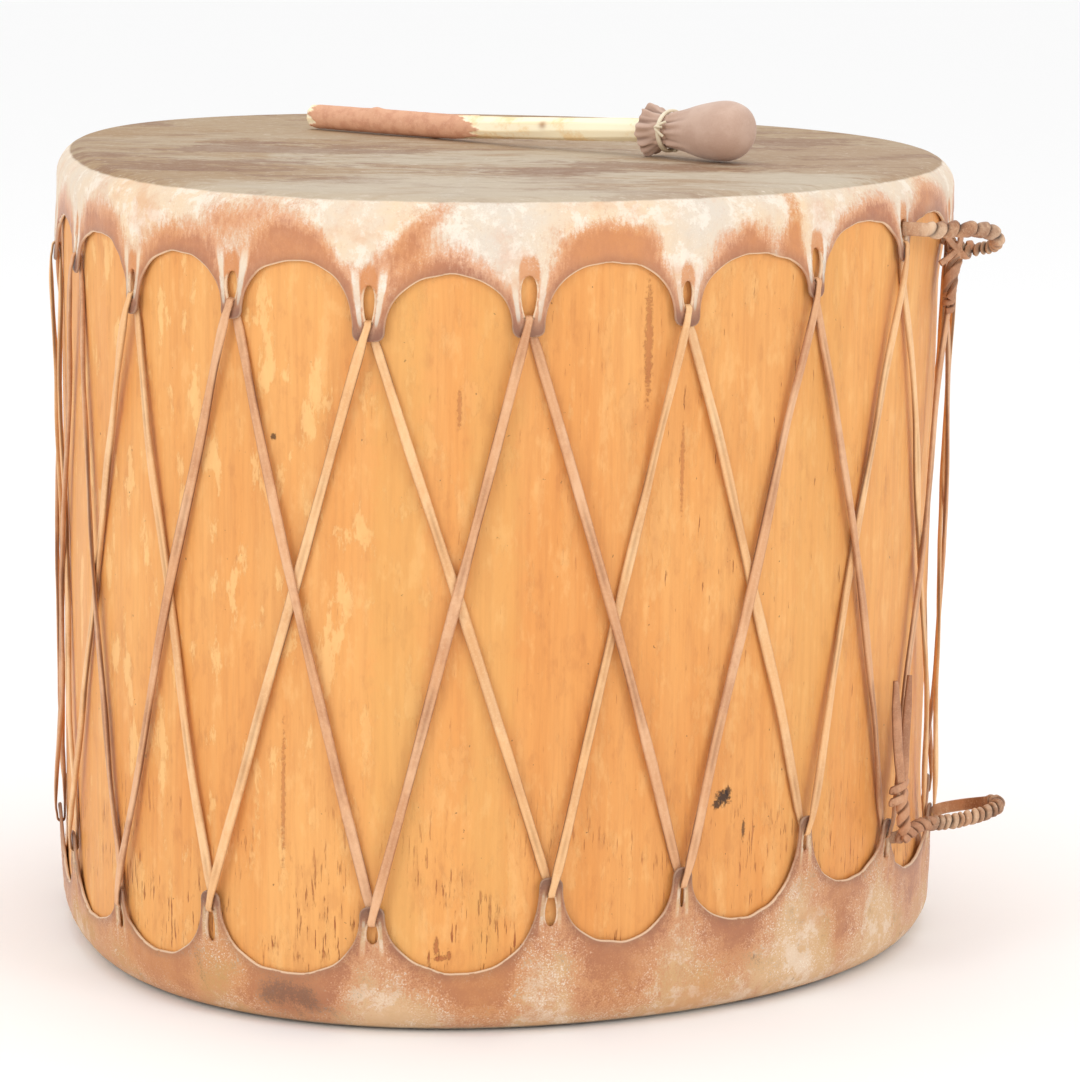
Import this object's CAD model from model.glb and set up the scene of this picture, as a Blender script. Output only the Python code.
"""A ceremonial log drum with its beater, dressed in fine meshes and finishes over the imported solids.

Shapes are worked out in millimetres in the part's own frame and turned into metres as each mesh is made. +Z
is up and the origin is on the floor under the middle of the trunk. Angles are in degrees round the trunk, 0 at
the front (-Y) and growing towards the right side (+X). "out" is a distance out from the trunk's surface, and
"depth" a distance from the flat face of a head.
"""

import logging
import math
from dataclasses import dataclass, field
from enum import Enum

import bmesh
import bpy
import numpy as np
from mathutils import Euler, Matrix, Vector, geometry, kdtree


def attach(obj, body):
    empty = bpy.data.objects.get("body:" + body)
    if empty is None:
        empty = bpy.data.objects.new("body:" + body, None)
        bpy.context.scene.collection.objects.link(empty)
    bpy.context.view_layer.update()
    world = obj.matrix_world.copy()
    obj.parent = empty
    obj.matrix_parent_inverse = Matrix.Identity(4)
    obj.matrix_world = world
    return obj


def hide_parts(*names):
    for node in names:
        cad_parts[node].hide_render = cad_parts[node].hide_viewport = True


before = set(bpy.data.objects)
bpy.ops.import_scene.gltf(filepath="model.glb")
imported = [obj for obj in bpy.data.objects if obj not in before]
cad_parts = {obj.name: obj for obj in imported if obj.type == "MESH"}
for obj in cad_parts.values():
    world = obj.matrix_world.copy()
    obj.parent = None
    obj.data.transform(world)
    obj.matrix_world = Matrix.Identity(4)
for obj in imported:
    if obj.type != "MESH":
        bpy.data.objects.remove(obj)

LOG = logging.getLogger("log_drum")
Array = np.ndarray
Colour = tuple[float, float, float]
Material = bpy.types.Material
Object = bpy.types.Object
Socket = bpy.types.NodeSocket
Tree = bpy.types.NodeTree
Form = tuple[Array, list]  # corners and faces
Station = tuple[float, float, float]  # an angle, a height and a distance out

MM = 0.001
BODY = "root"
PER_DEGREE = 5.32  # millimetres round the trunk in one degree, for laying a skirt out flat
CLEARANCE = 0.3
SKIN = 2.4
UNDER = CLEARANCE + SKIN
UP = np.array([0.0, 0.0, 1.0])


# ---- Numbers ----


def smooth(value: Array, low: float, high: float) -> Array:
    """Ease from 0 at low to 1 at high."""
    share = np.clip((np.asarray(value, float) - low) / (high - low), 0.0, 1.0)
    return share * share * (3.0 - 2.0 * share)


def blend(first: Array, second: Array, share: Array) -> Array:
    """Mix two values: the first at share 0, the second at share 1."""
    return first + (second - first) * share


def ripple(points: Array, size: float, seed: int, waves: int = 14) -> Array:
    """Make a smooth random swell over space.

    Args:
        points: Places, one row each.
        size: How wide its bumps are.
        seed: Picks the pattern.
        waves: How many waves are laid over each other.

    Returns:
        One value per point, mostly between -1 and 1.
    """
    draw = np.random.default_rng(seed)
    ways = draw.normal(size=(waves, points.shape[-1]))
    ways /= np.linalg.norm(ways, axis=1, keepdims=True)
    lengths = size * draw.uniform(0.7, 2.2, waves)
    starts = draw.uniform(0, 2 * math.pi, waves)
    swell = np.sin(2 * math.pi * (points @ ways.T) / lengths + starts).sum(axis=-1)
    return swell * math.sqrt(2.0 / waves) * 0.6


def unit(vectors: Array) -> Array:
    """Scale each row to a length of one."""
    return vectors / np.maximum(np.linalg.norm(vectors, axis=-1, keepdims=True), 1e-9)


def table(*values: Array) -> Array:
    """Put values side by side in the last axis."""
    return np.stack(np.broadcast_arrays(*values), axis=-1)


def signed_power(value: Array, power: float) -> Array:
    """Raise the size of a value to a power and keep its sign."""
    return np.sign(value) * np.abs(value) ** power


def full_turn(sides: int) -> Array:
    """Give even steps round a full turn, in radians."""
    return 2 * math.pi * np.arange(sides) / sides


def degrees_off(angle: Array, middle: Array) -> Array:
    """Say how far an angle is from another the shorter way round, in degrees."""
    return (angle - middle + 180.0) % 360.0 - 180.0


def polar(angle: Array, reach: Array, z: Array) -> Array:
    """Give points from angles in degrees, distances from the drum's axis, and heights."""
    turn = np.radians(angle)
    return table(reach * np.sin(turn), -reach * np.cos(turn), z)


def gone_along(path: Array) -> Array:
    """Say how far along a path each of its points lies."""
    return np.concatenate([[0], np.cumsum(np.linalg.norm(np.diff(path, axis=0), axis=1))])


def curve_through(points: Array, steps: int) -> Array:
    """Run a smooth curve through points and step evenly along it.

    Args:
        points: Where the curve passes, one row each, in any number of columns.
        steps: How many even steps to take.

    Returns:
        steps + 1 rows along the curve.
    """
    ends = np.vstack([2 * points[0] - points[1], points, 2 * points[-1] - points[-2]])
    rows = []
    for before, start, end, after in zip(ends, ends[1:], ends[2:], ends[3:]):
        share = np.linspace(0, 1, 24, endpoint=False)[:, None]
        rows.append(0.5 * (2 * start + (end - before) * share
                           + (2 * before - 5 * start + 4 * end - after) * share ** 2
                           + (3 * start - before - 3 * end + after) * share ** 3))
    fine = np.vstack([*rows, points[-1:]])
    gone = gone_along(fine[:, :3])
    even = np.linspace(0, gone[-1], steps + 1)
    return np.stack([np.interp(even, gone, fine[:, i]) for i in range(fine.shape[1])], axis=1)


# ---- The drum's plan ----


class Side(Enum):
    """Which end of the trunk a head closes."""

    TOP = "top"
    BOTTOM = "bottom"


@dataclass(frozen=True)
class Trunk:
    """The log's own form."""

    radius: float = 305.0
    height: float = 530.0
    wall: float = 25.0
    spread: float = 4.0
    lobes: tuple[tuple[int, float, float], ...] = ((2, 3.5, -27.0), (3, 12.0, -16.0), (4, 4.5, -40.0))

    def radius_at(self, angle: Array, z: Array) -> Array:
        """Give the radius at an angle and a height."""
        swell = sum(size * np.cos(np.radians(count * (angle - crest))) for count, size, crest in self.lobes)
        return self.radius + swell + self.spread * (z / self.height - 0.5)

    def place(self, angle: Array, z: Array, out: Array = 0.0) -> Array:
        """Give points at an angle and a height, a distance out from the surface.

        Args:
            angle: Degrees round the trunk.
            z: Heights.
            out: Distances out from the surface.

        Returns:
            Points, with x, y and z in the last axis.
        """
        return polar(angle, self.radius_at(angle, z) + out, z)

    def level_along(self, angle: Array, z: Array) -> Array:
        """Give the level direction along the surface, towards growing angles."""
        return unit(self.place(angle + 0.5, z) - self.place(angle - 0.5, z))


@dataclass(frozen=True)
class Tab:
    """One tab of a skirt.

    It has its angle, how deep its tip and the arch to its right lie, its eyelet's height, the width of its tip,
    and how long and wide its eyelet is.
    """

    angle: float
    tip: float
    arch: float
    eyelet: float
    width: float
    slot: float
    slit: float


@dataclass(frozen=True)
class HeadPlan:
    """Where a head lies and how its edge was cut."""

    side: Side
    face: float
    away: int
    rim: float
    first_tab: float
    sway: tuple[float, float, int]
    tips: tuple[float, ...]
    arches: tuple[float, ...]
    nudges: tuple[float, ...]
    widths: tuple[float, ...]
    slots: tuple[float, ...]
    slits: tuple[float, ...]
    from_tip: float = 9.0

    def tab(self, k: int) -> Tab:
        """Give a tab by its place round the trunk, going on past a full turn.

        Args:
            k: Its number.

        Returns:
            The tab, with an angle that goes on growing.
        """
        count = len(self.tips)
        turn, i = divmod(k, count)
        even = self.first_tab + i * 360.0 / count
        amount, crest, waves = self.sway
        angle = even + amount * math.cos(math.radians(waves * (even - crest))) + self.nudges[i] + 360.0 * turn
        eyelet = self.face + self.away * (self.tips[i] - self.from_tip)
        return Tab(angle, self.tips[i], self.arches[i], eyelet, self.widths[i], self.slots[i], self.slits[i])


TRUNK = Trunk()
TOP = HeadPlan(
    Side.TOP, TRUNK.height, -1, 17.0, -10.8, (2.2, 60.0, 3),
    (89, 85, 81, 70, 54, 62, 72, 76, 80, 82, 78, 74, 70, 72, 76, 78, 74, 70, 85, 80),
    (47, 40, 39, 25, 27, 34, 38, 40, 42, 40, 38, 36, 36, 38, 40, 38, 39, 39, 42, 41),
    (-0.7, -0.9, -0.95, -1.4, -1.8, 0, 0, 0, 0, 0, 0, 0, 0, 0, 0, 0, 0, 0, -0.3, -0.5),
    (19, 20, 18, 14, 13, 13, 14, 16, 18, 14, 13, 15, 17, 14, 13, 16, 14, 12, 12, 14),
    (26, 29, 19, 23, 18, 19, 21, 24, 20, 22, 25, 20, 19, 22, 20, 23, 21, 19, 19, 21),
    (7, 10, 7, 8.5, 6, 6, 7, 8, 6, 7, 8, 6, 7, 8, 6, 7, 6, 5.5, 5, 7.5),
)
BOTTOM = HeadPlan(
    Side.BOTTOM, 0.0, 1, 22.0, -11.4, (2.3, 90.0, 1),
    (85, 103, 102, 123, 104, 94, 92, 90, 88, 84, 80, 84, 90, 86, 82, 80, 80, 82, 68, 83),
    (42, 58, 63, 72, 62, 56, 52, 48, 46, 44, 42, 44, 46, 44, 42, 40, 38, 37, 35, 37),
    (-0.6, 1.1, -0.6, 0.2, 0, 0, 0, 0, 0, 0, 0, 0, 0, 0, 0, 0, 0, 0, 0, -1.8),
    (15, 15, 14, 11, 12, 13, 14, 12, 13, 15, 13, 12, 14, 13, 15, 12, 13, 12, 11, 14),
    (16, 23, 17, 15, 18, 19, 17, 20, 18, 22, 19, 17, 20, 18, 21, 19, 18, 17, 19, 24),
    (7.5, 7.5, 3.5, 4.5, 5, 6, 7, 5, 6, 7, 5, 6, 7, 5, 6, 7, 5, 6, 5.5, 6),
)


# ---- Meshes ----


@dataclass(frozen=True)
class Label:
    """What a piece is called, which solid it replaces, and its finish's slot."""

    name: str
    node: str
    slot: str


def make_piece(label: Label, points: Array, faces: list, material: Material,
               marks: dict[str, Array] | None = None) -> Object:
    """Make a piece of the drum from points and faces, and say what it stands for.

    Args:
        label: Its name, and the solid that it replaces.
        points: Corners in millimetres.
        faces: Corner numbers of each face.
        material: Its finish.
        marks: Named values at the corners, for the finish to read.

    Returns:
        The new object, smooth shaded, with its faces turned outwards.
    """
    name = label.name
    mesh = bpy.data.meshes.new(name)
    mesh.from_pydata((points * MM).tolist(), [], [tuple(face) for face in faces])
    for mark, values in (marks or {}).items():
        mesh.attributes.new(mark, "FLOAT", "POINT").data.foreach_set("value", values.astype(np.float32))
    work = bmesh.new()
    work.from_mesh(mesh)
    bmesh.ops.remove_doubles(work, verts=work.verts, dist=0.01 * MM)
    bmesh.ops.recalc_face_normals(work, faces=work.faces)
    work.to_mesh(mesh)
    work.free()
    mesh.polygons.foreach_set("use_smooth", [True] * len(mesh.polygons))
    mesh.materials.append(material)
    piece = bpy.data.objects.new(name, mesh)
    bpy.context.scene.collection.objects.link(piece)
    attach(piece, BODY)
    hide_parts(label.node)
    return piece


def grid_faces(rows: int, columns: int, start: int = 0, wrap_rows: bool = False,
               wrap_columns: bool = True) -> list[tuple[int, int, int, int]]:
    """List the four-sided faces of a grid of corners that are numbered row by row.

    Args:
        rows: How many rows of corners there are.
        columns: How many corners a row has.
        start: The first corner's number.
        wrap_rows: Whether the last row meets the first.
        wrap_columns: Whether each row closes on itself.

    Returns:
        The corner numbers of each face.
    """
    last_row = rows if wrap_rows else rows - 1
    last_column = columns if wrap_columns else columns - 1
    row, column = np.meshgrid(np.arange(last_row), np.arange(last_column), indexing="ij")
    next_row = (row + 1) % rows
    next_column = (column + 1) % columns
    quads = np.stack([row * columns + column, row * columns + next_column,
                      next_row * columns + next_column, next_row * columns + column], axis=-1) + start
    return [tuple(quad) for quad in quads.reshape(-1, 4).tolist()]


def end_fans(steps: int, sides: int) -> list[tuple[int, int, int]]:
    """List the triangles that close both ends of a tube, whose two middles are numbered after its corners."""
    return [(ring * sides + j, ring * sides + (j + 1) % sides, steps * sides + end)
            for end, ring in enumerate((0, steps - 1)) for j in range(sides)]


def join_parts(parts: list[Form]) -> Form:
    """Put several sets of corners and faces together as one.

    Args:
        parts: The corners and faces of each set.

    Returns:
        All corners and all faces.
    """
    faces = []
    start = 0
    for points, own in parts:
        faces.extend(tuple(i + start for i in face) for face in own)
        start += len(points)
    return np.vstack([points for points, _ in parts]), faces


def sweep(path: Array, guide: Array, outline: Array, closed: bool = False) -> Form:
    """Carry an outline along a path.

    Args:
        path: The middle line, one row each.
        guide: The direction that the outline's first axis keeps to, one row or one for each step.
        outline: The outline's points in two columns, the same at each step or one set for each.
        closed: Whether the path's end meets its start.

    Returns:
        Corners and faces, with both ends of an open path closed.
    """
    if closed:
        tangent = unit(np.roll(path, -1, axis=0) - np.roll(path, 1, axis=0))
    else:
        tangent = unit(np.gradient(path, axis=0))
    guide = np.broadcast_to(guide, path.shape)
    across = unit(guide - (guide * tangent).sum(axis=1, keepdims=True) * tangent)
    through = np.cross(tangent, across)
    outline = np.broadcast_to(outline, (len(path), *outline.shape[-2:]))
    rings = (path[:, None] + across[:, None] * outline[..., :1] + through[:, None] * outline[..., 1:])
    steps, sides = rings.shape[:2]
    faces = grid_faces(steps, sides, wrap_rows=closed)
    points = rings.reshape(-1, 3)
    if not closed:
        points = np.vstack([points, path[:1], path[-1:]])
        faces += end_fans(steps, sides)
    return points, faces


def strap_outline(width: Array, thickness: Array, groove: Array = 0.0, sides: int = 14) -> Array:
    """Draw the cross-section of a dried hide strip, with a groove along its outer side.

    Args:
        width: Its width, one value or one for each step of a path.
        thickness: Its thickness, likewise.
        groove: How deep the groove is, likewise.
        sides: How many points go round it.

    Returns:
        Points in two columns for each step.
    """
    turn = 2 * math.pi * (np.arange(sides) + 0.5) / sides
    flat = signed_power(np.cos(turn), 0.65)
    proud = signed_power(np.sin(turn), 0.8)
    width, thickness, groove = (
        np.asarray(v, float)[..., None] for v in np.broadcast_arrays(width, thickness, groove))
    dip = groove * np.exp(-(flat / 0.28) ** 2) * (proud > 0)
    return table(width / 2 * flat, thickness / 2 * proud - dip)


# ---- Writing node trees down ----


def srgb(red: float, green: float, blue: float) -> tuple[float, float, float, float]:
    """Turn a colour as seen on a screen into the renderer's own scale."""
    linear = [(c / 255 / 12.92) if c <= 10 else ((c / 255 + 0.055) / 1.055) ** 2.4 for c in (red, green, blue)]
    return (*linear, 1.0)


class Nodes:
    """A short way to write down a node tree."""

    def __init__(self, tree: Tree) -> None:
        """Start writing in a tree."""
        self.tree = tree

    def add(self, kind: str, inputs: dict | None = None, **settings: object) -> bpy.types.Node:
        """Add a node.

        Args:
            kind: The node's type.
            inputs: What each input is linked to or set to, by its name or place.
            **settings: The node's own settings.

        Returns:
            The new node.
        """
        node = self.tree.nodes.new(kind)
        for key, value in settings.items():
            setattr(node, key, value)
        for key, value in (inputs or {}).items():
            if isinstance(value, Socket):
                self.tree.links.new(value, node.inputs[key])
            else:
                node.inputs[key].default_value = value
        return node

    def math(self, operation: str, *values: Socket | float, clamp: bool = False) -> Socket:
        """Do a sum on one, two or three values."""
        inputs = dict(enumerate(values))
        return self.add("ShaderNodeMath", inputs, operation=operation, use_clamp=clamp).outputs[0]

    def times(self, first: Socket, second: Socket | float) -> Socket:
        """Multiply two values."""
        return self.math("MULTIPLY", first, second)

    def line(self, value: Socket, slope: float, start: Socket | float, clamp: bool = False) -> Socket:
        """Multiply a value by a slope and add it to a start."""
        return self.math("MULTIPLY_ADD", value, slope, start, clamp=clamp)

    def sway(self, pattern: Socket, amount: float, value: Socket | float, clamp: bool = False) -> Socket:
        """Let a pattern, which is about 0.5 in the middle, push a value up and down."""
        return self.line(self.math("SUBTRACT", pattern, 0.5), amount, value, clamp)

    def vector(self, operation: str, *values: Socket | tuple) -> Socket:
        """Do a sum on vectors."""
        return self.add("ShaderNodeVectorMath", dict(enumerate(values)), operation=operation).outputs[0]

    def drawn(self, place: Socket, x: float, y: float, z: float) -> Socket:
        """Shrink a place along each axis, so that a pattern on it is drawn out."""
        return self.vector("MULTIPLY", place, (x, y, z))

    def apart(self, place: Socket) -> bpy.types.NodeOutputs:
        """Take a place apart into its X, Y and Z."""
        return self.add("ShaderNodeSeparateXYZ", {0: place}).outputs

    def mix(self, share: Socket | float, first: Socket | Colour, second: Socket | Colour) -> Socket:
        """Mix two colours: the first at share 0, the second at share 1."""
        ends = [value if isinstance(value, Socket) else srgb(*value) for value in (first, second)]
        return self.add("ShaderNodeMix", {0: share, 6: ends[0], 7: ends[1]}, data_type="RGBA").outputs[2]

    def lay(self, colour: Socket | Colour, *layers: tuple) -> Socket:
        """Lay colours over another.

        Args:
            colour: What they are laid over.
            *layers: For each, the mask of where it lies, its strength if that isn't 1, and its colour.

        Returns:
            The new colour.
        """
        for mask, *strength, over in layers:
            colour = self.mix(self.times(mask, *strength) if strength else mask, colour, over)
        return colour

    def ease(self, value: Socket, low: Socket | float, high: Socket | float, start: float = 0.0,
             end: float = 1.0) -> Socket:
        """Ease a value from one range into another."""
        inputs = {"Value": value, "From Min": low, "From Max": high, "To Min": start, "To Max": end}
        return self.add("ShaderNodeMapRange", inputs, interpolation_type="SMOOTHSTEP").outputs[0]

    def noise(self, place: Socket, scale: Socket | float, detail: float = 4.0, rough: float = 0.55,
              warp: float = 0.0) -> Socket:
        """Make a cloudy pattern, about 0.5 in the middle."""
        inputs = {"Vector": place, "Scale": scale, "Detail": detail, "Roughness": rough, "Distortion": warp}
        return self.add("ShaderNodeTexNoise", inputs).outputs["Fac"]

    def mark(self, name: str) -> Socket:
        """Read a named value of the mesh."""
        return self.add("ShaderNodeAttribute", attribute_name=name).outputs["Fac"]

    def group(self, tree: Tree, *inputs: Socket | float | tuple) -> Socket:
        """Place a node group, with its inputs in its own order, and give its one output."""
        return self.add("ShaderNodeGroup", dict(enumerate(inputs)), node_tree=tree).outputs[0]


class Effects:
    """The effects that more than one finish uses, each built once as a node group with one output."""

    def __init__(self) -> None:
        """Build every group."""
        self.streaks = self._streaks()
        self.cloud = self._cloud()
        self.spot = self._spot()
        self.relief = self._relief()

    @staticmethod
    def _open(name: str, vectors: str, numbers: str) -> tuple[Nodes, list[Socket]]:
        """Start a group.

        Args:
            name: The group's name.
            vectors: The names of its vector inputs, with commas between.
            numbers: The names of its number inputs, likewise.

        Returns:
            A writer for its tree, and its inputs' sockets in order.
        """
        tree = bpy.data.node_groups.new(name, "ShaderNodeTree")
        for kind, labels in (("Vector", vectors), ("Float", numbers)):
            for label in labels.split(", "):
                tree.interface.new_socket(label, in_out="INPUT", socket_type=f"NodeSocket{kind}")
        return Nodes(tree), [socket for socket in tree.nodes.new("NodeGroupInput").outputs if socket.name]

    @staticmethod
    def _close(nodes: Nodes, name: str, value: Socket) -> Tree:
        """End a group with its one output.

        Args:
            nodes: The group's writer.
            name: The output's name.
            value: What it gives.

        Returns:
            The group.
        """
        nodes.tree.interface.new_socket(name, in_out="OUTPUT", socket_type="NodeSocketFloat")
        nodes.add("NodeGroupOutput", {0: value})
        return nodes.tree

    def _streaks(self) -> Tree:
        """Long thin streaks: a mask from noise that is drawn out along one axis.

        Returns:
            The group.
        """
        nodes, (place, stretch, scale, low, high) = self._open("Streaks", "Place, Stretch", "Scale, Low, High")
        pattern = nodes.noise(nodes.vector("MULTIPLY", place, stretch), scale, 5.0, 0.6)
        return self._close(nodes, "Mask", nodes.ease(pattern, low, high))

    def _cloud(self) -> Tree:
        """Soft blotches with ragged edges: a mask.

        Returns:
            The group.
        """
        nodes, (place, scale, low, high, ragged) = self._open("Cloud", "Place", "Scale, Low, High, Ragged")
        broad = nodes.noise(place, scale, 3.0, 0.5)
        fine = nodes.noise(place, nodes.times(scale, 9.0), 6.0, 0.7)
        fringe = nodes.times(nodes.math("SUBTRACT", fine, 0.5), ragged)
        return self._close(nodes, "Mask", nodes.ease(nodes.math("ADD", broad, fringe), low, high))

    def _spot(self) -> Tree:
        """One frayed oval patch at an angle round the trunk and a height in millimetres: a mask.

        Returns:
            The group.
        """
        nodes, (place, angle, height, half_angle, half_height, fray, grain) = self._open(
            "Spot", "Place", "Angle, Height, Half Angle, Half Height, Fray, Grain")
        x, y, z = nodes.apart(place)
        turn = nodes.math("DEGREES", nodes.math("ARCTAN2", x, nodes.times(y, -1.0)))
        rise = nodes.times(z, 1 / MM)
        across = nodes.math("DIVIDE", nodes.math("SUBTRACT", turn, angle), half_angle)
        along = nodes.math("DIVIDE", nodes.math("SUBTRACT", rise, height), half_height)
        far = nodes.math("SQRT", nodes.math("ADD", nodes.times(across, across), nodes.times(along, along)))
        rough = nodes.math("SUBTRACT", nodes.noise(place, grain, 6.0, 0.7), 0.5)
        edge = nodes.math("ADD", far, nodes.times(rough, fray))
        return self._close(nodes, "Mask", nodes.ease(edge, 1.25, 0.55))

    def _relief(self) -> Tree:
        """Fine grain for a bump: a height from two sizes of noise, drawn out along the given axes.

        Returns:
            The group.
        """
        nodes, (place, stretch, coarse, fine, share) = self._open(
            "Relief", "Place, Stretch", "Coarse, Fine, Share")
        drawn = nodes.vector("MULTIPLY", place, stretch)
        waves = nodes.noise(drawn, coarse, 3.0, 0.5)
        return self._close(nodes, "Height", nodes.math(
            "ADD", waves, nodes.times(nodes.noise(drawn, fine, 5.0, 0.65), share)))


# ---- Finishes ----


@dataclass(frozen=True)
class Finish:
    """What every finish has: a name, and how rough and how deep in relief it is."""

    name: str
    rough: float = 0.55
    relief: float = 0.0004

    def build(self, effects: Effects) -> Material:
        """Make the material.

        Args:
            effects: The shared groups.

        Returns:
            The material.
        """
        material = bpy.data.materials.new(self.name)
        material.use_nodes = True
        material.node_tree.nodes.clear()
        nodes = Nodes(material.node_tree)
        self._paint(nodes, effects, nodes.add("ShaderNodeTexCoord").outputs["Object"])
        return material

    def _paint(self, nodes: Nodes, effects: Effects, place: Socket) -> None:
        """Write down the colour and the relief at a place in metres, and close; every finish has its own."""
        raise NotImplementedError

    def _end(self, nodes: Nodes, colour: Socket, height: Socket, rough: Socket | float | None = None,
             **sockets: float) -> None:
        """Close a material with its shader.

        Args:
            nodes: The writer.
            colour: The base colour.
            height: The relief, about 0 to 1.
            rough: The roughness, if it changes over the surface.
            **sockets: Fixed values for the shader's other inputs, words joined by underscores.
        """
        bump = nodes.add("ShaderNodeBump", {"Height": height, "Distance": self.relief, "Strength": 1.0})
        inputs = {"Base Color": colour, "Normal": bump.outputs[0],
                  "Roughness": self.rough if rough is None else rough}
        inputs.update({key.replace("_", " "): value for key, value in sockets.items()})
        shader = nodes.add("ShaderNodeBsdfPrincipled", inputs)
        nodes.add("ShaderNodeOutputMaterial", {"Surface": shader.outputs[0]})


@dataclass(frozen=True)
class LogWood(Finish):
    """Peeled, oiled log: orange yellow with upright grain, flakes, streaks and a few knots.

    A zone has its angle, half its width in degrees and its strength. A mark has its angle, its height, half its
    width in degrees, half its height and its strength.
    """

    honey: Colour = (228, 162, 90)
    amber: Colour = (218, 142, 72)
    cream: Colour = (242, 194, 128)
    khaki: Colour = (214, 166, 92)
    rust: Colour = (150, 72, 34)
    dark: Colour = (44, 26, 18)
    knot_shade: float = 0.7
    zone_middle: float = 290.0
    zone_reach: float = 330.0
    zones: tuple[tuple[float, ...], ...] = (
        (-10.0, 3.4, 0.3), (0.6, 3.2, 0.26), (46.0, 5.0, 0.2), (150.0, 6.0, 0.5), (-120.0, 5.0, 0.4))
    marks: tuple[tuple[float, ...], ...] = (
        (31.2, 143, 1, 4.6, 0.95), (30.2, 139, 0.5, 3.2, 0.9), (31.9, 147, 0.5, 2.6, 0.85),
        (-24.5, 378, 0.35, 2, 0.8), (19.1, 440, 0.5, 34, 0.5),
        (-5.3, 58, 0.28, 6.5, 0.65), (-4.8, 51, 0.8, 1.6, 0.65), (-3.9, 53.5, 0.25, 3, 0.6),
        (-23.2, 150, 0.25, 40, 0.4), (24, 360, 0.25, 26, 0.4), (-3.4, 400, 0.25, 12, 0.4),
        (34.5, 120, 0.25, 7, 0.75), (140, 250, 1.1, 7, 0.85), (-100, 330, 0.8, 6, 0.8),
        (-150, 150, 0.9, 8, 0.8))

    def _spots(self, nodes: Nodes, effects: Effects, place: Socket, colour: Socket) -> tuple[Socket, Socket]:
        """Lay the khaki zones, knots and stains over the wood.

        Args:
            nodes: The writer.
            effects: The shared groups.
            place: The place on it.
            colour: What they are laid over.

        Returns:
            The new colour, and where the wood is pitted.
        """
        for angle, half, strength in self.zones:
            zone = nodes.group(effects.spot, place, angle, self.zone_middle, half, self.zone_reach, 1.6, 60)
            colour = nodes.lay(colour, (zone, strength, self.khaki))
        pits = None
        for angle, height, half, tall, shade in self.marks:
            spot = nodes.times(nodes.group(effects.spot, place, angle, height, half, tall, 3.4, 430), shade)
            colour = nodes.mix(spot, colour, self.dark if shade > self.knot_shade else self.rust)
            pits = spot if pits is None else nodes.math("MAXIMUM", pits, spot)
        return colour, pits

    def _dashes(self, nodes: Nodes, effects: Effects, place: Socket, flecks: Socket, fibres: Socket) -> Socket:
        """Gather the dark dashes: flecks at the right, and fibres in clumps near the foot.

        Args:
            nodes: The writer.
            effects: The shared groups.
            place: The place on it.
            flecks: The pattern of the flecks.
            fibres: The pattern of the fibres.

        Returns:
            Their mask.
        """
        right = nodes.group(effects.spot, place, 38, 270, 22, 240, 1.2, 60)
        flecked = nodes.times(flecks, nodes.ease(right, 0, 1, 0.3, 0.9))
        foot = nodes.ease(nodes.apart(place)["Z"], 0.2, 0.05)
        clumps = nodes.ease(nodes.noise(place, 22, 4, 0.6), 0.44, 0.56)
        return nodes.math("MAXIMUM", flecked, nodes.times(nodes.times(fibres, foot), clumps))

    def _paint(self, nodes: Nodes, effects: Effects, place: Socket) -> None:
        """Write down the wood: its grain, broad and fine streaks, flakes, dashes, specks and marks.

        Args:
            nodes: The writer.
            effects: The shared groups.
            place: The place on it.
        """
        grain, broad, fine, flecks, fibres = (
            nodes.group(effects.streaks, place, (1, 1, stretch), scale, low, high)
            for stretch, scale, low, high in (
                (0.07, 42, 0.35, 0.68), (0.22, 8, 0.35, 0.7), (0.05, 300, 0.35, 0.75),
                (0.12, 380, 0.66, 0.72), (0.09, 560, 0.58, 0.65)))
        drift = nodes.noise(place, 5, 3, 0.5)
        uneven = nodes.noise(nodes.drawn(place, 1, 1, 0.4), 75, 5, 0.65)
        flakes = nodes.group(effects.cloud, nodes.drawn(place, 1, 1, 0.35), 74, 0.57, 0.64, 0.35)
        left = nodes.group(effects.spot, place, -42, 300, 34, 260, 0.8, 60)
        dashes = self._dashes(nodes, effects, place, flecks, fibres)
        specks = nodes.ease(nodes.noise(place, 260, 2, 0.5), 0.75, 0.79)
        colour = nodes.lay(
            self.honey, (nodes.ease(drift, 0.35, 0.65, 0, 0.55), self.amber), (broad, 0.4, self.amber),
            (grain, 0.2, self.cream), (fine, 0.16, self.rust),
            (nodes.ease(uneven, 0.52, 0.68, 0, 0.28), self.cream),
            (nodes.ease(uneven, 0.46, 0.32, 0, 0.16), self.rust),
            (nodes.times(flakes, nodes.ease(left, 0, 1, 0.12, 0.58)), self.cream),
            (dashes, 0.85, self.rust), (specks, 0.6, self.dark))
        colour, pits = self._spots(nodes, effects, place, colour)
        relief = nodes.group(effects.relief, place, (1, 1, 0.1), 70, 420, 0.4)
        height = nodes.math("SUBTRACT", nodes.math("ADD", relief, nodes.times(flakes, 0.25)),
                            nodes.math("ADD", nodes.times(dashes, 0.7), pits))
        self._end(nodes, colour, height, nodes.ease(grain, 0, 1, 0.48, 0.62), Specular_IOR_Level=0.35)


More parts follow.
